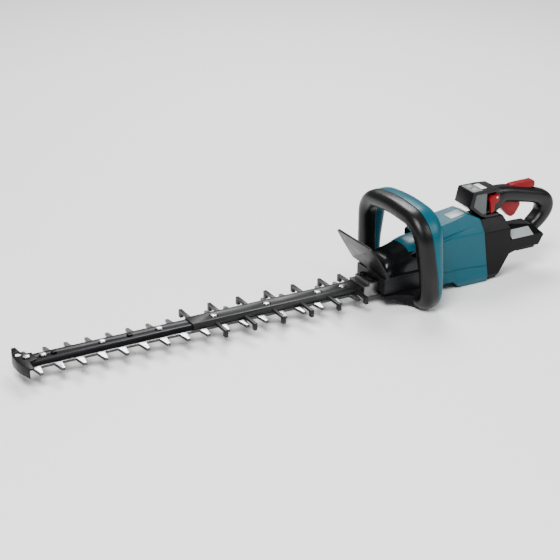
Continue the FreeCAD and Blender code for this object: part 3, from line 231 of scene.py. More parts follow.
def rounded_line(corners, radii, steps=8, closed=False):
    """The corners joined by straight runs and arcs, as a list of places."""
    corners = [Vector(corner) for corner in corners]
    count = len(corners)
    line = [] if closed else [corners[0]]
    turns = range(count) if closed else range(1, count - 1)
    for order, index in enumerate(turns):
        corner = corners[index]
        back = (corners[index - 1] - corner).normalized()
        ahead = (corners[(index + 1) % count] - corner).normalized()
        half_turn = back.angle(ahead) / 2
        radius = radii[order] if isinstance(radii, (list, tuple)) else radii
        middle = corner + (back + ahead).normalized() * (radius / math.sin(half_turn))
        first = corner + back * (radius / math.tan(half_turn)) - middle
        last = corner + ahead * (radius / math.tan(half_turn)) - middle
        sweep = last.angle_signed(first)
        for step in range(steps + 1):
            turn = sweep * step / steps
            line.append(middle + Vector((first.x * math.cos(turn) - first.y * math.sin(turn),
                                         first.x * math.sin(turn) + first.y * math.cos(turn))))
    if not closed:
        line.append(corners[-1])
    return line


def even_line(line, gap):
    """The same line with a place at every gap or closer."""
    places = [line[0]]
    for start, end in zip(line, line[1:]):
        count = max(1, math.ceil((end - start).length / gap))
        places += [start.lerp(end, step / count) for step in range(1, count + 1)]
    return places


def pick(piece, kind, chosen):
    """Select only the chosen faces or edges, by number, and enter edit mode."""
    only(piece)
    bpy.context.tool_settings.mesh_select_mode = (False, kind == "EDGE", kind == "FACE")
    parts = {"EDGE": piece.data.edges, "FACE": piece.data.polygons}
    for item in (*piece.data.vertices, *piece.data.edges, *piece.data.polygons):
        item.select = False
    for index in chosen:
        parts[kind][index].select = True
    bpy.ops.object.mode_set(mode="EDIT")


def halves(piece, names):
    """Split a finished piece at the middle plane, with a fine parting line; the first name is the near half."""
    made = []
    for name, inner in zip(names, (False, True)):
        nothing_selected()
        half = piece.copy()
        half.data = piece.data.copy()
        half.name = name
        bpy.context.scene.collection.objects.link(half)
        only(half)
        bpy.ops.object.mode_set(mode="EDIT")
        bpy.ops.mesh.select_all(action="SELECT")
        bpy.ops.mesh.bisect(plane_co=(0, 0, 0), plane_no=(0, 1, 0), use_fill=True,
                            clear_outer=not inner, clear_inner=inner)
        bpy.ops.object.mode_set(mode="OBJECT")
        rims = {}
        for polygon in half.data.polygons:
            flat = all(abs(half.data.vertices[v].co.y) < 1e-6 for v in polygon.vertices)
            for key in polygon.edge_keys:
                rims.setdefault(key, []).append(flat)
        pick(half, "EDGE", [edge.index for edge in half.data.edges
                            if sorted(rims.get(edge.key, [])) == [False, True]])
        bpy.ops.mesh.bevel(offset=PARTING_LINE, segments=1, clamp_overlap=True)
        bpy.ops.object.mode_set(mode="OBJECT")
        made.append(apply(smooth(half, 24), "WEIGHTED_NORMAL", keep_sharp=True, weight=90))
    bpy.data.objects.remove(piece, do_unlink=True)
    return made


def whole_from_half(node, name):
    """A CAD half with its mirror image, joined without the wall between them."""
    piece = copy_of(node, name)
    pick(piece, "FACE", [polygon.index for polygon in piece.data.polygons
                         if all(abs(piece.data.vertices[v].co.y) < 1e-6 for v in polygon.vertices)])
    bpy.ops.mesh.delete(type="FACE")
    bpy.ops.object.mode_set(mode="OBJECT")
    apply(piece, "MIRROR", use_axis=(False, True, False), use_mirror_merge=True, merge_threshold=1e-5)
    only(piece)
    bpy.ops.object.mode_set(mode="EDIT")
    bpy.ops.mesh.select_all(action="SELECT")
    bpy.ops.mesh.dissolve_limited(angle_limit=math.radians(0.6))
    bpy.ops.object.mode_set(mode="OBJECT")
    return outward(piece)


def rounded_plate(plate, thickness, radius):
    """Round the corners of a plate: the edges that run through its thickness."""
    spots = plate.data.vertices
    chosen = []
    for edge in plate.data.edges:
        first, second = (spots[index].co for index in edge.vertices)
        if abs((first - second).length - thickness) < 0.02 * MM:
            chosen.append(edge.index)
    pick(plate, "EDGE", chosen)
    bpy.ops.mesh.bevel(offset=radius, segments=6, clamp_overlap=True)
    bpy.ops.object.mode_set(mode="OBJECT")
    return plate


def copy_of(node, name):
    """A merged copy of a CAD node's mesh, with its flat faces whole."""
    nothing_selected()
    source = frame["nodes"][node]
    piece = source.copy()
    piece.data = source.data.copy()
    piece.parent = None
    piece.matrix_world = Matrix.Identity(4)
    piece.name = name
    bpy.context.scene.collection.objects.link(piece)
    for key in list(piece.keys()):
        if key.startswith("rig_"):
            del piece[key]
    only(piece)
    bpy.ops.object.mode_set(mode="EDIT")
    bpy.ops.mesh.select_all(action="SELECT")
    bpy.ops.mesh.remove_doubles(threshold=2e-6)
    bpy.ops.mesh.dissolve_limited(angle_limit=math.radians(0.6))
    bpy.ops.object.mode_set(mode="OBJECT")
    return piece


def finish_piece(piece, node, material, *others):
    """Give a finished piece its material and body; it stands for its CAD nodes."""
    piece.data.materials.clear()
    piece.data.materials.append(material)
    for polygon in piece.data.polygons:
        polygon.material_index = 0
    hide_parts(node, *others)
    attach(piece, NODE_BODY[node])
    return piece


def soften(node, material, width, segments=2, angle=28):
    """A CAD node's shape with its edges rounded."""
    piece = copy_of(node, f"{node}_finished")
    round_edges(piece, width, segments, angle)
    return finish_piece(piece, node, material)


def paint(node, material):
    """Give a carried-over CAD node its material."""
    target = frame["nodes"][node]
    target.data.materials.clear()
    target.data.materials.append(material)


# ------------------------------------------------------------------ materials

def new_material(name):
    """A material with its node tree and its shader."""
    material = bpy.data.materials.new(name)
    material.use_nodes = True
    tree = material.node_tree
    return material, tree, tree.nodes["Principled BSDF"]


def node(tree, kind, **values):
    """Add one shader node and set its values."""
    made = tree.nodes.new(kind)
    for name, value in values.items():
        if hasattr(made, name):
            setattr(made, name, value)
        else:
            made.inputs[name.replace("_", " ").title()].default_value = value
    return made


def noise(tree, scale, detail=4.0, stretch=(1, 1, 1), rough=0.5):
    """Noise on the piece's own coordinates, stretched along the axes."""
    place = node(tree, "ShaderNodeTexCoord")
    turn = node(tree, "ShaderNodeMapping")
    turn.inputs["Scale"].default_value = stretch
    made = node(tree, "ShaderNodeTexNoise")
    made.inputs["Scale"].default_value = scale
    made.inputs["Detail"].default_value = detail
    made.inputs["Roughness"].default_value = rough
    tree.links.new(place.outputs["Object"], turn.inputs["Vector"])
    tree.links.new(turn.outputs["Vector"], made.inputs["Vector"])
    return made.outputs["Fac"]


def spread(tree, source, low, high, start=0.3, end=0.7):
    """Map a factor onto a range of numbers."""
    made = node(tree, "ShaderNodeMapRange")
    made.inputs["From Min"].default_value = start
    made.inputs["From Max"].default_value = end
    made.inputs["To Min"].default_value = low
    made.inputs["To Max"].default_value = high
    tree.links.new(source, made.inputs["Value"])
    return made.outputs["Result"]


def blend_colours(tree, factor, first, second):
    """A colour between two, by a factor."""
    made = node(tree, "ShaderNodeMix")
    made.data_type = "RGBA"
    made.inputs[6].default_value = (*first, 1)
    made.inputs[7].default_value = (*second, 1)
    tree.links.new(factor, made.inputs[0])
    return made.outputs[2]


def bump(tree, shader, height, strength, distance):
    """Raise the surface by a height."""
    made = node(tree, "ShaderNodeBump")
    made.inputs["Strength"].default_value = strength
    made.inputs["Distance"].default_value = distance
    tree.links.new(height, made.inputs["Height"])
    tree.links.new(made.outputs["Normal"], shader.inputs["Normal"])
    return made


def scaled(rgb, factor):
    """A colour made lighter or darker."""
    return tuple(min(1.0, channel * factor) for channel in rgb)


def moulded(name, base, rough=(0.34, 0.44), grain=2600, grain_depth=0.05, mottle=0.12, coat=0.0, shine=0.3):
    """Moulded plastic: a spark-eroded grain, slight flow mottling and handling marks in its gloss."""
    material, tree, shader = new_material(name)
    base = tuple(base)
    flow = spread(tree, noise(tree, 9.0, 3.0), 0, 1)
    tree.links.new(blend_colours(tree, flow, scaled(base, 1 - mottle), scaled(base, 1 + mottle)),
                   shader.inputs["Base Color"])
    marks = spread(tree, noise(tree, 34.0, 6.0, rough=0.62), rough[0], rough[1], 0.35, 0.68)
    tree.links.new(marks, shader.inputs["Roughness"])
    bump(tree, shader, noise(tree, grain, 2.0), grain_depth, 0.0004)
    shader.inputs["Specular IOR Level"].default_value = shine
    shader.inputs["Coat Weight"].default_value = coat
    shader.inputs["Coat Roughness"].default_value = 0.18
    return material


def rubber(name, base):
    """Soft grip rubber: satin, with a fine even grain."""
    material, tree, shader = new_material(name)
    base = tuple(base)
    dust = spread(tree, noise(tree, 18.0, 5.0), 0, 1, 0.4, 0.75)
    tree.links.new(blend_colours(tree, dust, base, scaled(base, 1.7)), shader.inputs["Base Color"])
    tree.links.new(spread(tree, noise(tree, 60.0, 4.0), 0.28, 0.38), shader.inputs["Roughness"])
    bump(tree, shader, noise(tree, 1900, 3.0), 0.09, 0.0004)
    shader.inputs["Specular IOR Level"].default_value = 0.27
    return material


def metal(name, base, rough=(0.24, 0.40), grain=(1, 1, 1), scale=900, depth=0.04, wear=0.12):
    """Metal with machining lines along the stretched axis and uneven dulling."""
    material, tree, shader = new_material(name)
    base = tuple(base)
    lines = noise(tree, scale, 3.0, grain)
    dull = spread(tree, noise(tree, 26.0, 6.0, rough=0.6), 0, 1)
    tree.links.new(blend_colours(tree, dull, base, scaled(base, 1 - wear)), shader.inputs["Base Color"])
    tree.links.new(spread(tree, lines, rough[0], rough[1]), shader.inputs["Roughness"])
    bump(tree, shader, lines, depth, 0.0003)
    shader.inputs["Metallic"].default_value = 1.0
    return material


MATERIALS = {}


def build_materials():
    """All finishes, from the scene's colours."""
    tone = bpy.context.scene.trimmer_colours
    made = {
        "teal": moulded("teal_satin_plastic", tone.teal, (0.28, 0.38), 2600, 0.03, 0.06, 0.05, 0.18),
        "black": moulded("black_grained_plastic", tone.black, (0.30, 0.40), 2200, 0.06, 0.12, 0.0, 0.12),
        "gloss_black": moulded("black_satin_cover", tone.black, (0.20, 0.30), 2600, 0.02, 0.10, 0.06, 0.22),
        "guard": moulded("dark_grey_guard_plastic", tone.guard, (0.34, 0.46), 1800, 0.07, 0.08, 0.0, 0.2),
        "grip": rubber("handle_rubber", tone.rubber),
        "red": moulded("red_lever_plastic", tone.red, (0.26, 0.36), 2600, 0.03, 0.08, 0.05, 0.15),
        "steel": metal("ground_blade_steel", tone.steel, (0.22, 0.38), (0.05, 1, 1), 1400, 0.05),
        "bar": metal("dark_bar_finish", (0.018, 0.018, 0.0195), (0.30, 0.44), (0.04, 1, 1), 900, 0.05),
        "bracket": metal("satin_bracket_steel", (0.22, 0.22, 0.215), (0.30, 0.44), (1, 1, 0.1), 700, 0.04),
        # painted shade: a near-black steel for the blades' side faces, darker because they face away from the
        # light
        "edge": metal("painted_shade_blade_sides", (0.07, 0.07, 0.072), (0.26, 0.40), (0.05, 1, 1), 1400, 0.05),
        "zinc": metal("bright_zinc", tone.zinc, (0.20, 0.34), (1, 1, 1), 500, 0.03),
        "gear": metal("hobbed_steel", (0.46, 0.46, 0.44), (0.24, 0.36), (1, 1, 0.1), 900, 0.04),
        "bearing": metal("polished_races", (0.72, 0.72, 0.72), (0.08, 0.16), (1, 1, 0.1), 600, 0.01),
        "casting": metal("black_coated_casting", (0.035, 0.035, 0.038), (0.42, 0.56), (1, 1, 1), 1100, 0.12),
        "copper": metal("contact_copper", (0.72, 0.40, 0.22), (0.22, 0.34), (1, 1, 1), 500, 0.02),
        "alloy": metal("extruded_alloy", (0.75, 0.75, 0.76), (0.26, 0.38), (0.1, 1, 1), 700, 0.03),
        "iron": metal("varnished_laminations", (0.17, 0.16, 0.15), (0.34, 0.5), (1, 1, 0.02), 1200, 0.12),
        "board": moulded("board_resist", (0.01, 0.09, 0.045), (0.3, 0.4), 300, 0.05, 0.2),
        "nylon": moulded("fan_nylon", (0.70, 0.70, 0.66), (0.4, 0.5), 1500, 0.04, 0.04),
        "plate": moulded("blank_plate_film", tone.plate, (0.30, 0.40), 900, 0.02, 0.05),
        "panel": moulded("grey_side_panel", (0.075, 0.083, 0.085), (0.34, 0.44), 1600, 0.04, 0.06),
        "membrane": moulded("grey_key_membrane", (0.13, 0.135, 0.14), (0.30, 0.40), 1200, 0.03, 0.06),
        "lens": moulded("white_lens", (0.74, 0.75, 0.76), (0.16, 0.24), 1200, 0.01, 0.03, 0.3),
        "keys": moulded("grey_key_rubber", (0.26, 0.27, 0.28), (0.4, 0.5), 1500, 0.04, 0.06),
    }
    MATERIALS.update(made)


# ------------------------------------------------------------------ pieces

def build_blades():
    """The two toothed blades: ground steel faces, with painted shade on their side faces."""
    for name in ("upper_blade", "lower_blade"):
        blade = soften(name, MATERIALS["steel"], 0.0005, 2)
        blade.data.materials.append(MATERIALS["edge"])
        # faces that don't look up or down take the dark steel: painted shade on the blades' sides
        for polygon in blade.data.polygons:
            polygon.material_index = int(abs(polygon.normal.z) < 0.9)


def build_guide_bar():
    """The dark folded bar over the blades, with its wear pads."""
    soften("guide_bar", MATERIALS["bar"], 0.0006, 2, 50)
    soften("bar_pads", MATERIALS["black"], 0.0008, 2)


def build_blade_guard():
    """The guard over the bar's rear, with its fingers."""
    soften("blade_guard", MATERIALS["guard"], 0.0011, 2)


def build_tip_bumper():
    """The nose bumper with its hanging hole."""
    soften("tip_bumper", MATERIALS["black"], 0.0015, 3)


def build_blade_fasteners():
    """The bright bolts and nuts that hold blades and bar."""
    soften("blade_bolts", MATERIALS["zinc"], 0.0008, 2, 40)
    soften("blade_nuts", MATERIALS["zinc"], 0.0004, 2, 40)


def build_bracket():
    """The clamp bracket at the bar's root, with its bolts."""
    soften("blade_bracket", MATERIALS["bracket"], 0.0016, 3)
    soften("bracket_bolts", MATERIALS["casting"], 0.0006, 2, 40)


INNER_FINISHES = {
    "crank_shaft": "gear", "upper_cam": "gear", "lower_cam": "gear", "crank_gear": "gear", "pinion": "gear",
    "motor_shaft": "gear", "rotor": "gear", "stator": "iron", "motor_fan": "nylon", "motor_bearings": "bearing",
    "crank_bearings": "bearing", "motor_frame": "casting", "controller": "board", "controller_fins": "alloy",
    "swivel_tube": "bracket", "swivel_clip": "bracket", "switch": "black", "button_board": "board",
    "button_springs": "zinc", "trigger_spring": "zinc", "thumb_spring": "zinc", "battery_contacts": "copper",
    "lever_pins": "zinc",
}


def build_drive():
    """The drive inside the case keeps its CAD shapes."""
    for name, finish in INNER_FINISHES.items():
        paint(name, MATERIALS[finish])


# the nose cover's line, in millimetres: place along the tool, half width, height of its top
COVER_LINE = [(-196, 0.5, 55.8), (-196, 16, 62), (-196, 31, 71), (-195, 37, 79), (-188, 39, 84.5),
              (-174, 39.5, 88.5), (-158, 40, 92.5), (-144, 40, 98), (-132, 40, 103.5), (-118, 40, 106.6),
              (-105, 40, 107.6)]
COVER_FOOT = 55 * MM
COVER_STATIONS = 56
COVER_FULLNESS = 0.72
INLET_SPOT = (-131 * MM, 44 * MM, 86 * MM)
INLET_SIZE = (8.5 * MM, 4.6 * MM, 1)


def cover_arch(station, turn, lift=0.0):
    """A place on the nose cover's skin: a full arch over one station, raised by the lift."""
    across = math.copysign(abs(math.cos(turn)) ** COVER_FULLNESS, math.cos(turn))
    rise = station.z + lift - COVER_FOOT
    return ((station.y + lift) * across, COVER_FOOT + rise * math.sin(turn) ** COVER_FULLNESS)


def cover_stations():
    """The nose cover's line as evenly numbered stations."""
    return smooth_run([Vector(station) * MM for station in COVER_LINE], COVER_STATIONS)


def build_motor_cover():
    """The glossy nose cover: one curved shell with an oval inlet on each side."""
    stations = cover_stations()

    def spot(row, column):
        return (stations[row].x, *cover_arch(stations[row], math.pi * column / 64))

    cover = grid("motor_cover_finished", COVER_STATIONS, 65, spot, ring=False, caps=False)
    apply(cover, "SOLIDIFY", thickness=2.2 * MM, offset=-1)
    cutters = []
    for side in (-1, 1):
        nothing_selected()
        x, y, z = INLET_SPOT
        bpy.ops.mesh.primitive_cylinder_add(vertices=40, radius=1, depth=24 * MM, location=(x, side * y, z),
                                            rotation=(math.pi / 2, 0, 0))
        inlet = bpy.context.object
        inlet.scale = INLET_SIZE
        cutters.append(still(inlet))
    carve(cover, *cutters)
    smooth(cover, 35)
    finish_piece(cover, "motor_cover", MATERIALS["gloss_black"])


FACET_START = -143
FACET_LONG = 38


def build_cover_facet():
    """The coloured facet that carries the main housing's colour down over the rear of the nose cover."""
    stations = cover_stations()

    def spot(row, column):
        along = row / 15
        x = (FACET_START + FACET_LONG * along) * MM
        before = max(index for index in range(COVER_STATIONS - 1) if stations[index].x <= x)
        share = (x - stations[before].x) / (stations[before + 1].x - stations[before].x)
        station = stations[before].lerp(stations[before + 1], share)
        reach = 0.5 - (0.22 + 0.16 * along)
        turn = math.pi * (reach + (1 - 2 * reach) * column / 40)
        return (x, *cover_arch(station, turn, 0.35 * MM))

    facet = grid("cover_facet", 16, 41, spot, ring=False, caps=False)
    apply(facet, "SOLIDIFY", thickness=0.9 * MM, offset=-1)
    finish_piece(smooth(facet, 35), "motor_cover", MATERIALS["teal"])


def build_hand_guard():
    """The leaning plate in front of the loop handle, with soft corners."""
    guard = rounded_plate(copy_of("hand_guard", "hand_guard_finished"), 3.5 * MM, 7 * MM)
    finish_piece(round_edges(guard, 0.0014, 3, 30), "hand_guard", MATERIALS["guard"])


def build_gear_case():
    """The coated gear case and its cover."""
    soften("gear_case", MATERIALS["casting"], 0.002, 3)
    soften("gear_cover", MATERIALS["casting"], 0.001, 2, 40)


def build_pan():
    """The pan under the gear case, and the key peg."""
    soften("base_skirt", MATERIALS["black"], 0.003, 3)
    soften("key_peg", MATERIALS["black"], 0.0006, 2, 40)


FLUTE_START = (-94, 44.9, 102)
FLUTE_END = (-1, 36.0, 117.6)
CREASE = [(-90, 40.5), (-30, 41.5), (24, 36), (26, 34), (-30, 38.5), (-90, 38)]


def build_housing():
    """The main housing's halves, with a tapering flute and a crease on each side."""
    sizes = bpy.context.scene.trimmer_sizes
    shell = whole_from_half("housing_left", "housing")
    round_edges(shell, sizes.soft_edge, 4, 12)
    grooves = []
    for side in (-1, 1):
        low, high = sorted((side * 41.1 * MM, side * 46 * MM))
        start, end = (Vector((x, side * y, z)) * MM for x, y, z in (FLUTE_START, FLUTE_END))
        way = end - start
        nothing_selected()
        bpy.ops.mesh.primitive_cone_add(vertices=48, radius1=6.2 * MM, radius2=0.5 * MM, depth=way.length,
                                        location=(start + end) / 2,
                                        rotation=way.to_track_quat("Z", "Y").to_euler())
        grooves.append(still(bpy.context.object))
        grooves.append(slab("crease", [(u * MM, v * MM) for u, v in CREASE], "XZ", low, high))
    carve(shell, *grooves)
    sides = halves(shell, ("housing_near", "housing_far"))
    for name, piece in zip(("housing_left", "housing_right"), sides):
        finish_piece(piece, name, MATERIALS["teal"])


LOOP_X = -142 * MM
LOOP_LEAN = math.radians(6)
LOOP_CORNERS = [(-62, 15.5), (-103, 15.5), (-101, 73.5), (-87, 168), (0, 177), (87, 168), (101, 73.5),
                (103, 15.5), (62, 15.5)]
LOOP_RADII = [24, 150, 48, 320, 48, 150, 24]
GRIP_WRAP = 12 * MM


def loop_line():
    """The middle line of the front handle, with its sideways direction at every place."""
    line = even_line([place * MM for place in rounded_line(LOOP_CORNERS, LOOP_RADII, 10)], 6 * MM)
    frames = []
    for index, place in enumerate(line):
        along = (line[min(index + 1, len(line) - 1)] - line[max(index - 1, 0)]).normalized()
        frames.append((place, Vector((-along.y, along.x))))
    return frames


def swept_loop(name, section):
    """A ring of section places, each a depth and a sideways distance, carried along the handle's line."""
    frames = loop_line()
    count = len(section(frames[0][0].y))

    def spot(row, column):
        place, side = frames[row]
        depth, out = section(place.y)[column % count]
        y, z = place + side * out
        return (LOOP_X + depth * math.cos(LOOP_LEAN) - z * math.sin(LOOP_LEAN), y,
                depth * math.sin(LOOP_LEAN) + z * math.cos(LOOP_LEAN))

    return grid(name, len(frames), count + 1, spot)


def grip_section(height):
    """Round in front, wrapping back to a rolled edge that meets the fin."""
    radius = bpy.context.scene.trimmer_sizes.loop_radius
    front = [(-math.cos(turn) * radius, math.sin(turn) * radius)
             for turn in (math.pi * (step / 20 - 0.5) for step in range(21))]
    edge = [(0.35, 1.0), (0.7, 0.997), (0.88, 0.98), (0.96, 0.945), (1.0, 0.89), (0.97, 0.84)]
    wrap = [(GRIP_WRAP * deep, radius * wide) for deep, wide in edge]
    return front + wrap + [(deep, -wide) for deep, wide in reversed(wrap)]


def fin_section(height):
    """The fin behind the grip, deeper towards the top of the handle."""
    sizes = bpy.context.scene.trimmer_sizes
    share = min(1, max(0, (height - 25 * MM) / (136.5 * MM)))
    depth = sizes.loop_fin_foot + (sizes.loop_fin - sizes.loop_fin_foot) * share
    half = sizes.loop_radius * 0.93
    start = GRIP_WRAP + 0.3 * MM
    curve = []
    for step in range(25):
        turn = math.pi * (step / 24 - 0.5)
        deep = start + (depth - start) * abs(math.cos(turn)) ** 0.85
        curve.append((deep, math.copysign(abs(math.sin(turn)) ** 0.9, -math.sin(turn)) * -half))
    return [(start - 0.2 * MM, -half * 0.8)] + curve + [(start - 0.2 * MM, half * 0.8)]


def build_loop_handle():
    """The soft grip and the coloured fin behind it."""
    grip = smooth(swept_loop("loop_grip", grip_section), 40)
    finish_piece(grip, "handle_grip", MATERIALS["grip"])
    fin = smooth(swept_loop("loop_fin", fin_section), 40)
    finish_piece(fin, "handle_back", MATERIALS["teal"])


# the rear grip's ribs, in millimetres along the tool and up: outer place, inner place
GRIP_RIBS = [((62.4, 173), (62.4, 123)), ((70, 172.5), (72, 123.5)), ((80, 171.8), (80.5, 139)),
             ((95, 170.3), (93, 137.5)), ((113, 166), (112, 134)), ((128, 162.4), (126, 131.2)),
             ((150, 157), (143, 127.8)), ((168, 152), (155, 125)), ((184, 146.5), (163, 121)),
             ((198, 136), (168.5, 116)), ((205, 121), (169.5, 110)), ((203.5, 105), (167.5, 104)),
             ((196.5, 93), (161, 96.5)), ((186, 81.5), (152, 90)), ((175, 73.8), (148.5, 84)),
             ((168, 71), (150, 80))]
# the trigger's slot and the thumb lever's slot: along from and to, half width, up from and to
GRIP_SLOTS = [(73, 127, 7.1, 118, 147.5), (95, 159, 7.6, 150, 185)]
GRIP_HALF = 17 * MM


def build_rear_grip():
    """The closed rear grip, full and rounded, slotted for the trigger and the thumb lever."""
    pairs = [Vector((*outer, *inner)) * MM for outer, inner in GRIP_RIBS]
    ribs = smooth_run(pairs, 84)

    def spot(row, column):
        outer_x, outer_z, inner_x, inner_z = ribs[row]
        turn = 2 * math.pi * column / 40
        up = math.copysign(abs(math.cos(turn)) ** 0.78, math.cos(turn))
        out = math.copysign(abs(math.sin(turn)) ** 0.78, math.sin(turn))
        return ((outer_x + inner_x) / 2 + (outer_x - inner_x) / 2 * up, GRIP_HALF * out,
                (outer_z + inner_z) / 2 + (outer_z - inner_z) / 2 * up)

    grip = grid("rear_grip", 84, 41, spot)
    for low, high, half, foot, top in GRIP_SLOTS:
        nothing_selected()
        bpy.ops.mesh.primitive_cube_add(size=1, location=((low + high) / 2 * MM, 0, (foot + top) / 2 * MM))
        slot = bpy.context.object
        slot.scale = ((high - low) * MM, 2 * half * MM, (top - foot) * MM)
        carve(grip, still(slot))
    sides = halves(grip, ("rear_grip_near", "rear_grip_far"))
    for name, piece in zip(("grip_left", "grip_right"), sides):
        finish_piece(piece, name, MATERIALS["grip"])


PANEL_OUTLINE = [(2, 149), (6.5, 171.5), (30.5, 171.5), (30.5, 131.5), (23.5, 131.5)]
MEMBRANE = [(3, -20), (25, -20), (25, 20), (3, 20)]


def build_console():
    """The control box with its side panels and key membrane."""
    soften("console", MATERIALS["gloss_black"], 0.0035, 4)
    half = 24 * MM
    for side, word in ((-1, "near"), (1, "far")):
        low, high = sorted((side * (half - 0.6 * MM), side * (half + 0.5 * MM)))
        panel = slab(f"console_panel_{word}", [(u * MM, v * MM) for u, v in PANEL_OUTLINE], "XZ", low, high)
        rounded_plate(panel, 1.1 * MM, 3 * MM)
        finish_piece(round_edges(panel, 0.3 * MM, 2, 40), "console", MATERIALS["panel"])
    membrane = slab("key_membrane", [(u * MM, v * MM) for u, v in MEMBRANE], "XY", 176.4 * MM, 177.3 * MM)
    rounded_plate(membrane, 0.9 * MM, 3.5 * MM)
    holes = []
    for side in (-1, 1):
        nothing_selected()
        bpy.ops.mesh.primitive_cylinder_add(vertices=48, radius=5.15 * MM, depth=4 * MM,
                                            location=(13 * MM, side * 9 * MM, 177 * MM))
        holes.append(still(bpy.context.object))
    finish_piece(round_edges(carve(membrane, *holes), 0.15 * MM, 2, 40), "console", MATERIALS["membrane"])


def build_rear_base():
    """The rear handle's base in two halves."""
    edge = bpy.context.scene.trimmer_sizes.soft_edge
    base = round_edges(whole_from_half("rear_base_left", "rear_base"), edge, 4, 12)
    sides = halves(base, ("rear_base_near", "rear_base_far"))
    for name, piece in zip(("rear_base_left", "rear_base_right"), sides):
        finish_piece(piece, name, MATERIALS["black"])


def build_buttons():
    """The two keys and the pale lens."""
    for name in ("power_button", "mode_button"):
        soften(name, MATERIALS["keys"], 0.0005, 2, 40)
    soften("status_lens", MATERIALS["lens"], 0.0003, 2)


def build_levers():
    """The trigger, the thumb lever and the release lever."""
    for name in ("trigger", "thumb_lever", "release_lever"):
        soften(name, MATERIALS["red"], 0.0012, 3)


def build_battery_interface():
    """The battery's rails and the block that holds its contacts."""
    for name in ("battery_rails", "terminal_block"):
        soften(name, MATERIALS["black"], 0.0005, 2)


def build_plates():
    """The blank plates on the housing and on the rear bar."""
    soften("top_plate", MATERIALS["plate"], 0.0004, 2)
    soften("rating_plates", MATERIALS["plate"], 0.0003, 2)


def build_screws():
    """The screws of the mouldings."""
    for name in ("housing_screws", "rear_screws"):
        soften(name, MATERIALS["zinc"], 0.0003, 2, 40)


CAMERA_SPOT = Vector((-1.592, -2.075, 1.130))


def build_stage():
    """A pale floor, soft lights and the camera."""
    stage = bpy.context.scene.trimmer_stage
    low, high = (Vector(corner) for corner in CAD_BOX)
    centre = (low + high) / 2
    nothing_selected()
    bpy.ops.mesh.primitive_plane_add(size=24, location=(centre.x, centre.y, low.z - 0.0002))
    floor = bpy.context.object
    floor.name = "floor"
    material, tree, shader = new_material("pale_floor")
    tree.links.new(blend_colours(tree, noise(tree, 0.6, 2.0), (0.86, 0.86, 0.86), (0.89, 0.89, 0.89)),
                   shader.inputs["Base Color"])
    shader.inputs["Roughness"].default_value = 0.7
    floor.data.materials.append(material)
    still(floor)
    world = bpy.data.worlds.new("studio")
    world.use_nodes = True
    world.node_tree.nodes["Background"].inputs[0].default_value = (1, 1, 1, 1)
    world.node_tree.nodes["Background"].inputs[1].default_value = 0.30
    bpy.context.scene.world = world
    lights = (("key", (-1.5, -1.3, 2.6), 1.7, stage.key_power),
              ("fill", (1.7, -1.7, 1.7), 1.3, stage.key_power * 0.22),
              ("top_rear", (0.6, 1.7, 2.4), 1.6, stage.key_power * 0.75))
    for name, place, size, power in lights:
        nothing_selected()
        bpy.ops.object.light_add(type="AREA", location=place)
        lamp = bpy.context.object
        lamp.name = name
        lamp.data.shape = "DISK"
        lamp.data.size = size
        lamp.data.energy = power
        lamp.rotation_mode = "QUATERNION"
        lamp.rotation_quaternion = (centre - Vector(place)).to_track_quat("-Z", "Y")
    around = math.radians(stage.azimuth)
    above = math.radians(stage.elevation)
    lean = math.radians(stage.roll)
    right = Vector((math.cos(around), math.sin(around), 0))
    back = Vector((math.sin(around) * math.cos(above), -math.cos(around) * math.cos(above), math.sin(above)))
    up = back.cross(right)
    right_rolled = right * math.cos(lean) + up * math.sin(lean)
    up_rolled = back.cross(right_rolled)
    nothing_selected()
    bpy.ops.object.camera_add()
    camera = bpy.context.object
    camera.name = "camera"
    turn = Matrix((right_rolled, up_rolled, back)).transposed().to_4x4()
    camera.matrix_world = Matrix.Translation(CAMERA_SPOT) @ turn
    camera.data.sensor_width = 36
    camera.data.lens = stage.lens
    camera.data.clip_end = 60
    bpy.context.scene.camera = camera


# ------------------------------------------------------------------ operators and panel

class TRIMMER_OT_materials(bpy.types.Operator):
    """Make the plastics, rubber and metals."""
    bl_idname = "trimmer.materials"
    bl_label = "Finishes"

    def execute(self, context):
        build_materials()
        return {"FINISHED"}


class TRIMMER_OT_blades(bpy.types.Operator):
    """Finish the two toothed blades."""
    bl_idname = "trimmer.blades"
    bl_label = "Blades"

    def execute(self, context):
        build_blades()
        return {"FINISHED"}


class TRIMMER_OT_guide_bar(bpy.types.Operator):
    """Finish the bar over the blades and its wear pads."""
    bl_idname = "trimmer.guide_bar"
    bl_label = "Guide bar"

    def execute(self, context):
        build_guide_bar()
        return {"FINISHED"}


class TRIMMER_OT_blade_guard(bpy.types.Operator):
    """Finish the guard with its fingers."""
    bl_idname = "trimmer.blade_guard"
    bl_label = "Blade guard"

    def execute(self, context):
        build_blade_guard()
        return {"FINISHED"}


class TRIMMER_OT_tip_bumper(bpy.types.Operator):
    """Finish the bumper at the blades' nose."""
    bl_idname = "trimmer.tip_bumper"
    bl_label = "Nose bumper"

    def execute(self, context):
        build_tip_bumper()
        return {"FINISHED"}


class TRIMMER_OT_blade_fasteners(bpy.types.Operator):
    """Finish the through bolts and their nuts."""
    bl_idname = "trimmer.blade_fasteners"
    bl_label = "Blade bolts"

    def execute(self, context):
        build_blade_fasteners()
        return {"FINISHED"}


class TRIMMER_OT_bracket(bpy.types.Operator):
    """Finish the bracket that clamps the bar, and its bolts."""
    bl_idname = "trimmer.bracket"
    bl_label = "Clamp bracket"

    def execute(self, context):
        build_bracket()
        return {"FINISHED"}


class TRIMMER_OT_drive(bpy.types.Operator):
    """Finish the motor, the gears, the shafts, the switch and the springs."""
    bl_idname = "trimmer.drive"
    bl_label = "Drive"

    def execute(self, context):
        build_drive()
        return {"FINISHED"}


class TRIMMER_OT_gear_case(bpy.types.Operator):
    """Finish the gear case and its cover."""
    bl_idname = "trimmer.gear_case"
    bl_label = "Gear case"

    def execute(self, context):
        build_gear_case()
        return {"FINISHED"}


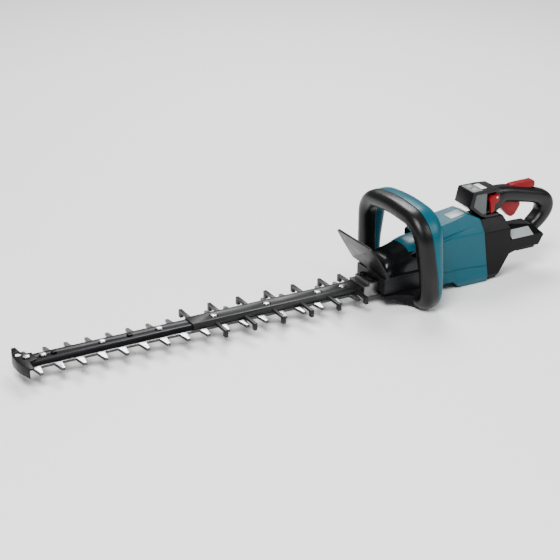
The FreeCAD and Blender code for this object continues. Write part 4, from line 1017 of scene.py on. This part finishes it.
class TRIMMER_OT_pan(bpy.types.Operator):
    """Finish the pan under the gear case and the key peg."""
    bl_idname = "trimmer.pan"
    bl_label = "Pan"

    def execute(self, context):
        build_pan()
        return {"FINISHED"}


class TRIMMER_OT_motor_cover(bpy.types.Operator):
    """Shape the cover over the motor."""
    bl_idname = "trimmer.motor_cover"
    bl_label = "Nose cover"

    def execute(self, context):
        build_motor_cover()
        return {"FINISHED"}


class TRIMMER_OT_cover_facet(bpy.types.Operator):
    """Shape the coloured facet on the nose cover."""
    bl_idname = "trimmer.cover_facet"
    bl_label = "Cover facet"

    def execute(self, context):
        build_cover_facet()
        return {"FINISHED"}


class TRIMMER_OT_hand_guard(bpy.types.Operator):
    """Finish the guard in front of the loop handle."""
    bl_idname = "trimmer.hand_guard"
    bl_label = "Hand guard"

    def execute(self, context):
        build_hand_guard()
        return {"FINISHED"}


class TRIMMER_OT_housing(bpy.types.Operator):
    """Shape the main housing's two halves."""
    bl_idname = "trimmer.housing"
    bl_label = "Main housing"

    def execute(self, context):
        build_housing()
        return {"FINISHED"}


class TRIMMER_OT_loop_handle(bpy.types.Operator):
    """Shape the soft grip and the coloured fin behind it."""
    bl_idname = "trimmer.loop_handle"
    bl_label = "Loop handle"

    def execute(self, context):
        build_loop_handle()
        return {"FINISHED"}


class TRIMMER_OT_rear_base(bpy.types.Operator):
    """Shape the two halves of the rear handle's base."""
    bl_idname = "trimmer.rear_base"
    bl_label = "Rear base"

    def execute(self, context):
        build_rear_base()
        return {"FINISHED"}


class TRIMMER_OT_rear_grip(bpy.types.Operator):
    """Shape the closed rear grip."""
    bl_idname = "trimmer.rear_grip"
    bl_label = "Rear grip"

    def execute(self, context):
        build_rear_grip()
        return {"FINISHED"}


class TRIMMER_OT_console(bpy.types.Operator):
    """Finish the control box with its panels and membrane."""
    bl_idname = "trimmer.console"
    bl_label = "Control box"

    def execute(self, context):
        build_console()
        return {"FINISHED"}


class TRIMMER_OT_buttons(bpy.types.Operator):
    """Finish the two buttons and the pale lens."""
    bl_idname = "trimmer.buttons"
    bl_label = "Buttons"

    def execute(self, context):
        build_buttons()
        return {"FINISHED"}


class TRIMMER_OT_levers(bpy.types.Operator):
    """Finish the trigger, the thumb lever and the release lever."""
    bl_idname = "trimmer.levers"
    bl_label = "Levers"

    def execute(self, context):
        build_levers()
        return {"FINISHED"}


class TRIMMER_OT_battery_interface(bpy.types.Operator):
    """Finish the rails and the terminal block."""
    bl_idname = "trimmer.battery_interface"
    bl_label = "Battery rails"

    def execute(self, context):
        build_battery_interface()
        return {"FINISHED"}


class TRIMMER_OT_plates(bpy.types.Operator):
    """Finish the blank plates."""
    bl_idname = "trimmer.plates"
    bl_label = "Blank plates"

    def execute(self, context):
        build_plates()
        return {"FINISHED"}


class TRIMMER_OT_screws(bpy.types.Operator):
    """Finish the screws of the mouldings."""
    bl_idname = "trimmer.screws"
    bl_label = "Screws"

    def execute(self, context):
        build_screws()
        return {"FINISHED"}


class TRIMMER_OT_stage(bpy.types.Operator):
    """Make the floor, the lights and the camera."""
    bl_idname = "trimmer.stage"
    bl_label = "Stage"

    def execute(self, context):
        build_stage()
        return {"FINISHED"}


STEPS = [
    TRIMMER_OT_materials, TRIMMER_OT_blades, TRIMMER_OT_guide_bar, TRIMMER_OT_blade_guard,
    TRIMMER_OT_tip_bumper, TRIMMER_OT_blade_fasteners, TRIMMER_OT_bracket, TRIMMER_OT_drive,
    TRIMMER_OT_gear_case, TRIMMER_OT_pan, TRIMMER_OT_motor_cover, TRIMMER_OT_cover_facet,
    TRIMMER_OT_hand_guard, TRIMMER_OT_housing, TRIMMER_OT_loop_handle, TRIMMER_OT_rear_base,
    TRIMMER_OT_rear_grip, TRIMMER_OT_console, TRIMMER_OT_buttons, TRIMMER_OT_levers,
    TRIMMER_OT_battery_interface, TRIMMER_OT_plates, TRIMMER_OT_screws, TRIMMER_OT_stage,
]


class TRIMMER_PT_panel(bpy.types.Panel):
    """Lists the building steps."""
    bl_idname = "TRIMMER_PT_panel"
    bl_label = "Hedge Trimmer"
    bl_space_type = "VIEW_3D"
    bl_region_type = "UI"
    bl_category = "Trimmer"

    def draw(self, context):
        for step in STEPS:
            self.layout.operator(step.bl_idname)


GROUPS = {"trimmer_colours": TrimmerColours, "trimmer_sizes": TrimmerSizes, "trimmer_stage": TrimmerStage}


def register():
    """Register the settings, the steps and the panel."""
    for name, group in GROUPS.items():
        bpy.utils.register_class(group)
        setattr(bpy.types.Scene, name, PointerProperty(type=group))
    for step in STEPS:
        bpy.utils.register_class(step)
    bpy.utils.register_class(TRIMMER_PT_panel)


def unregister():
    """Take everything away again."""
    bpy.utils.unregister_class(TRIMMER_PT_panel)
    for step in reversed(STEPS):
        bpy.utils.unregister_class(step)
    for name, group in GROUPS.items():
        delattr(bpy.types.Scene, name)
        bpy.utils.unregister_class(group)


def main():
    """Run every step in order."""
    register()
    for step in STEPS:
        call = getattr(bpy.ops.trimmer, step.bl_idname.split(".")[1])
        if call() != {"FINISHED"}:
            raise RuntimeError(f"{step.bl_label} did not finish")


if __name__ == "__main__":
    main()
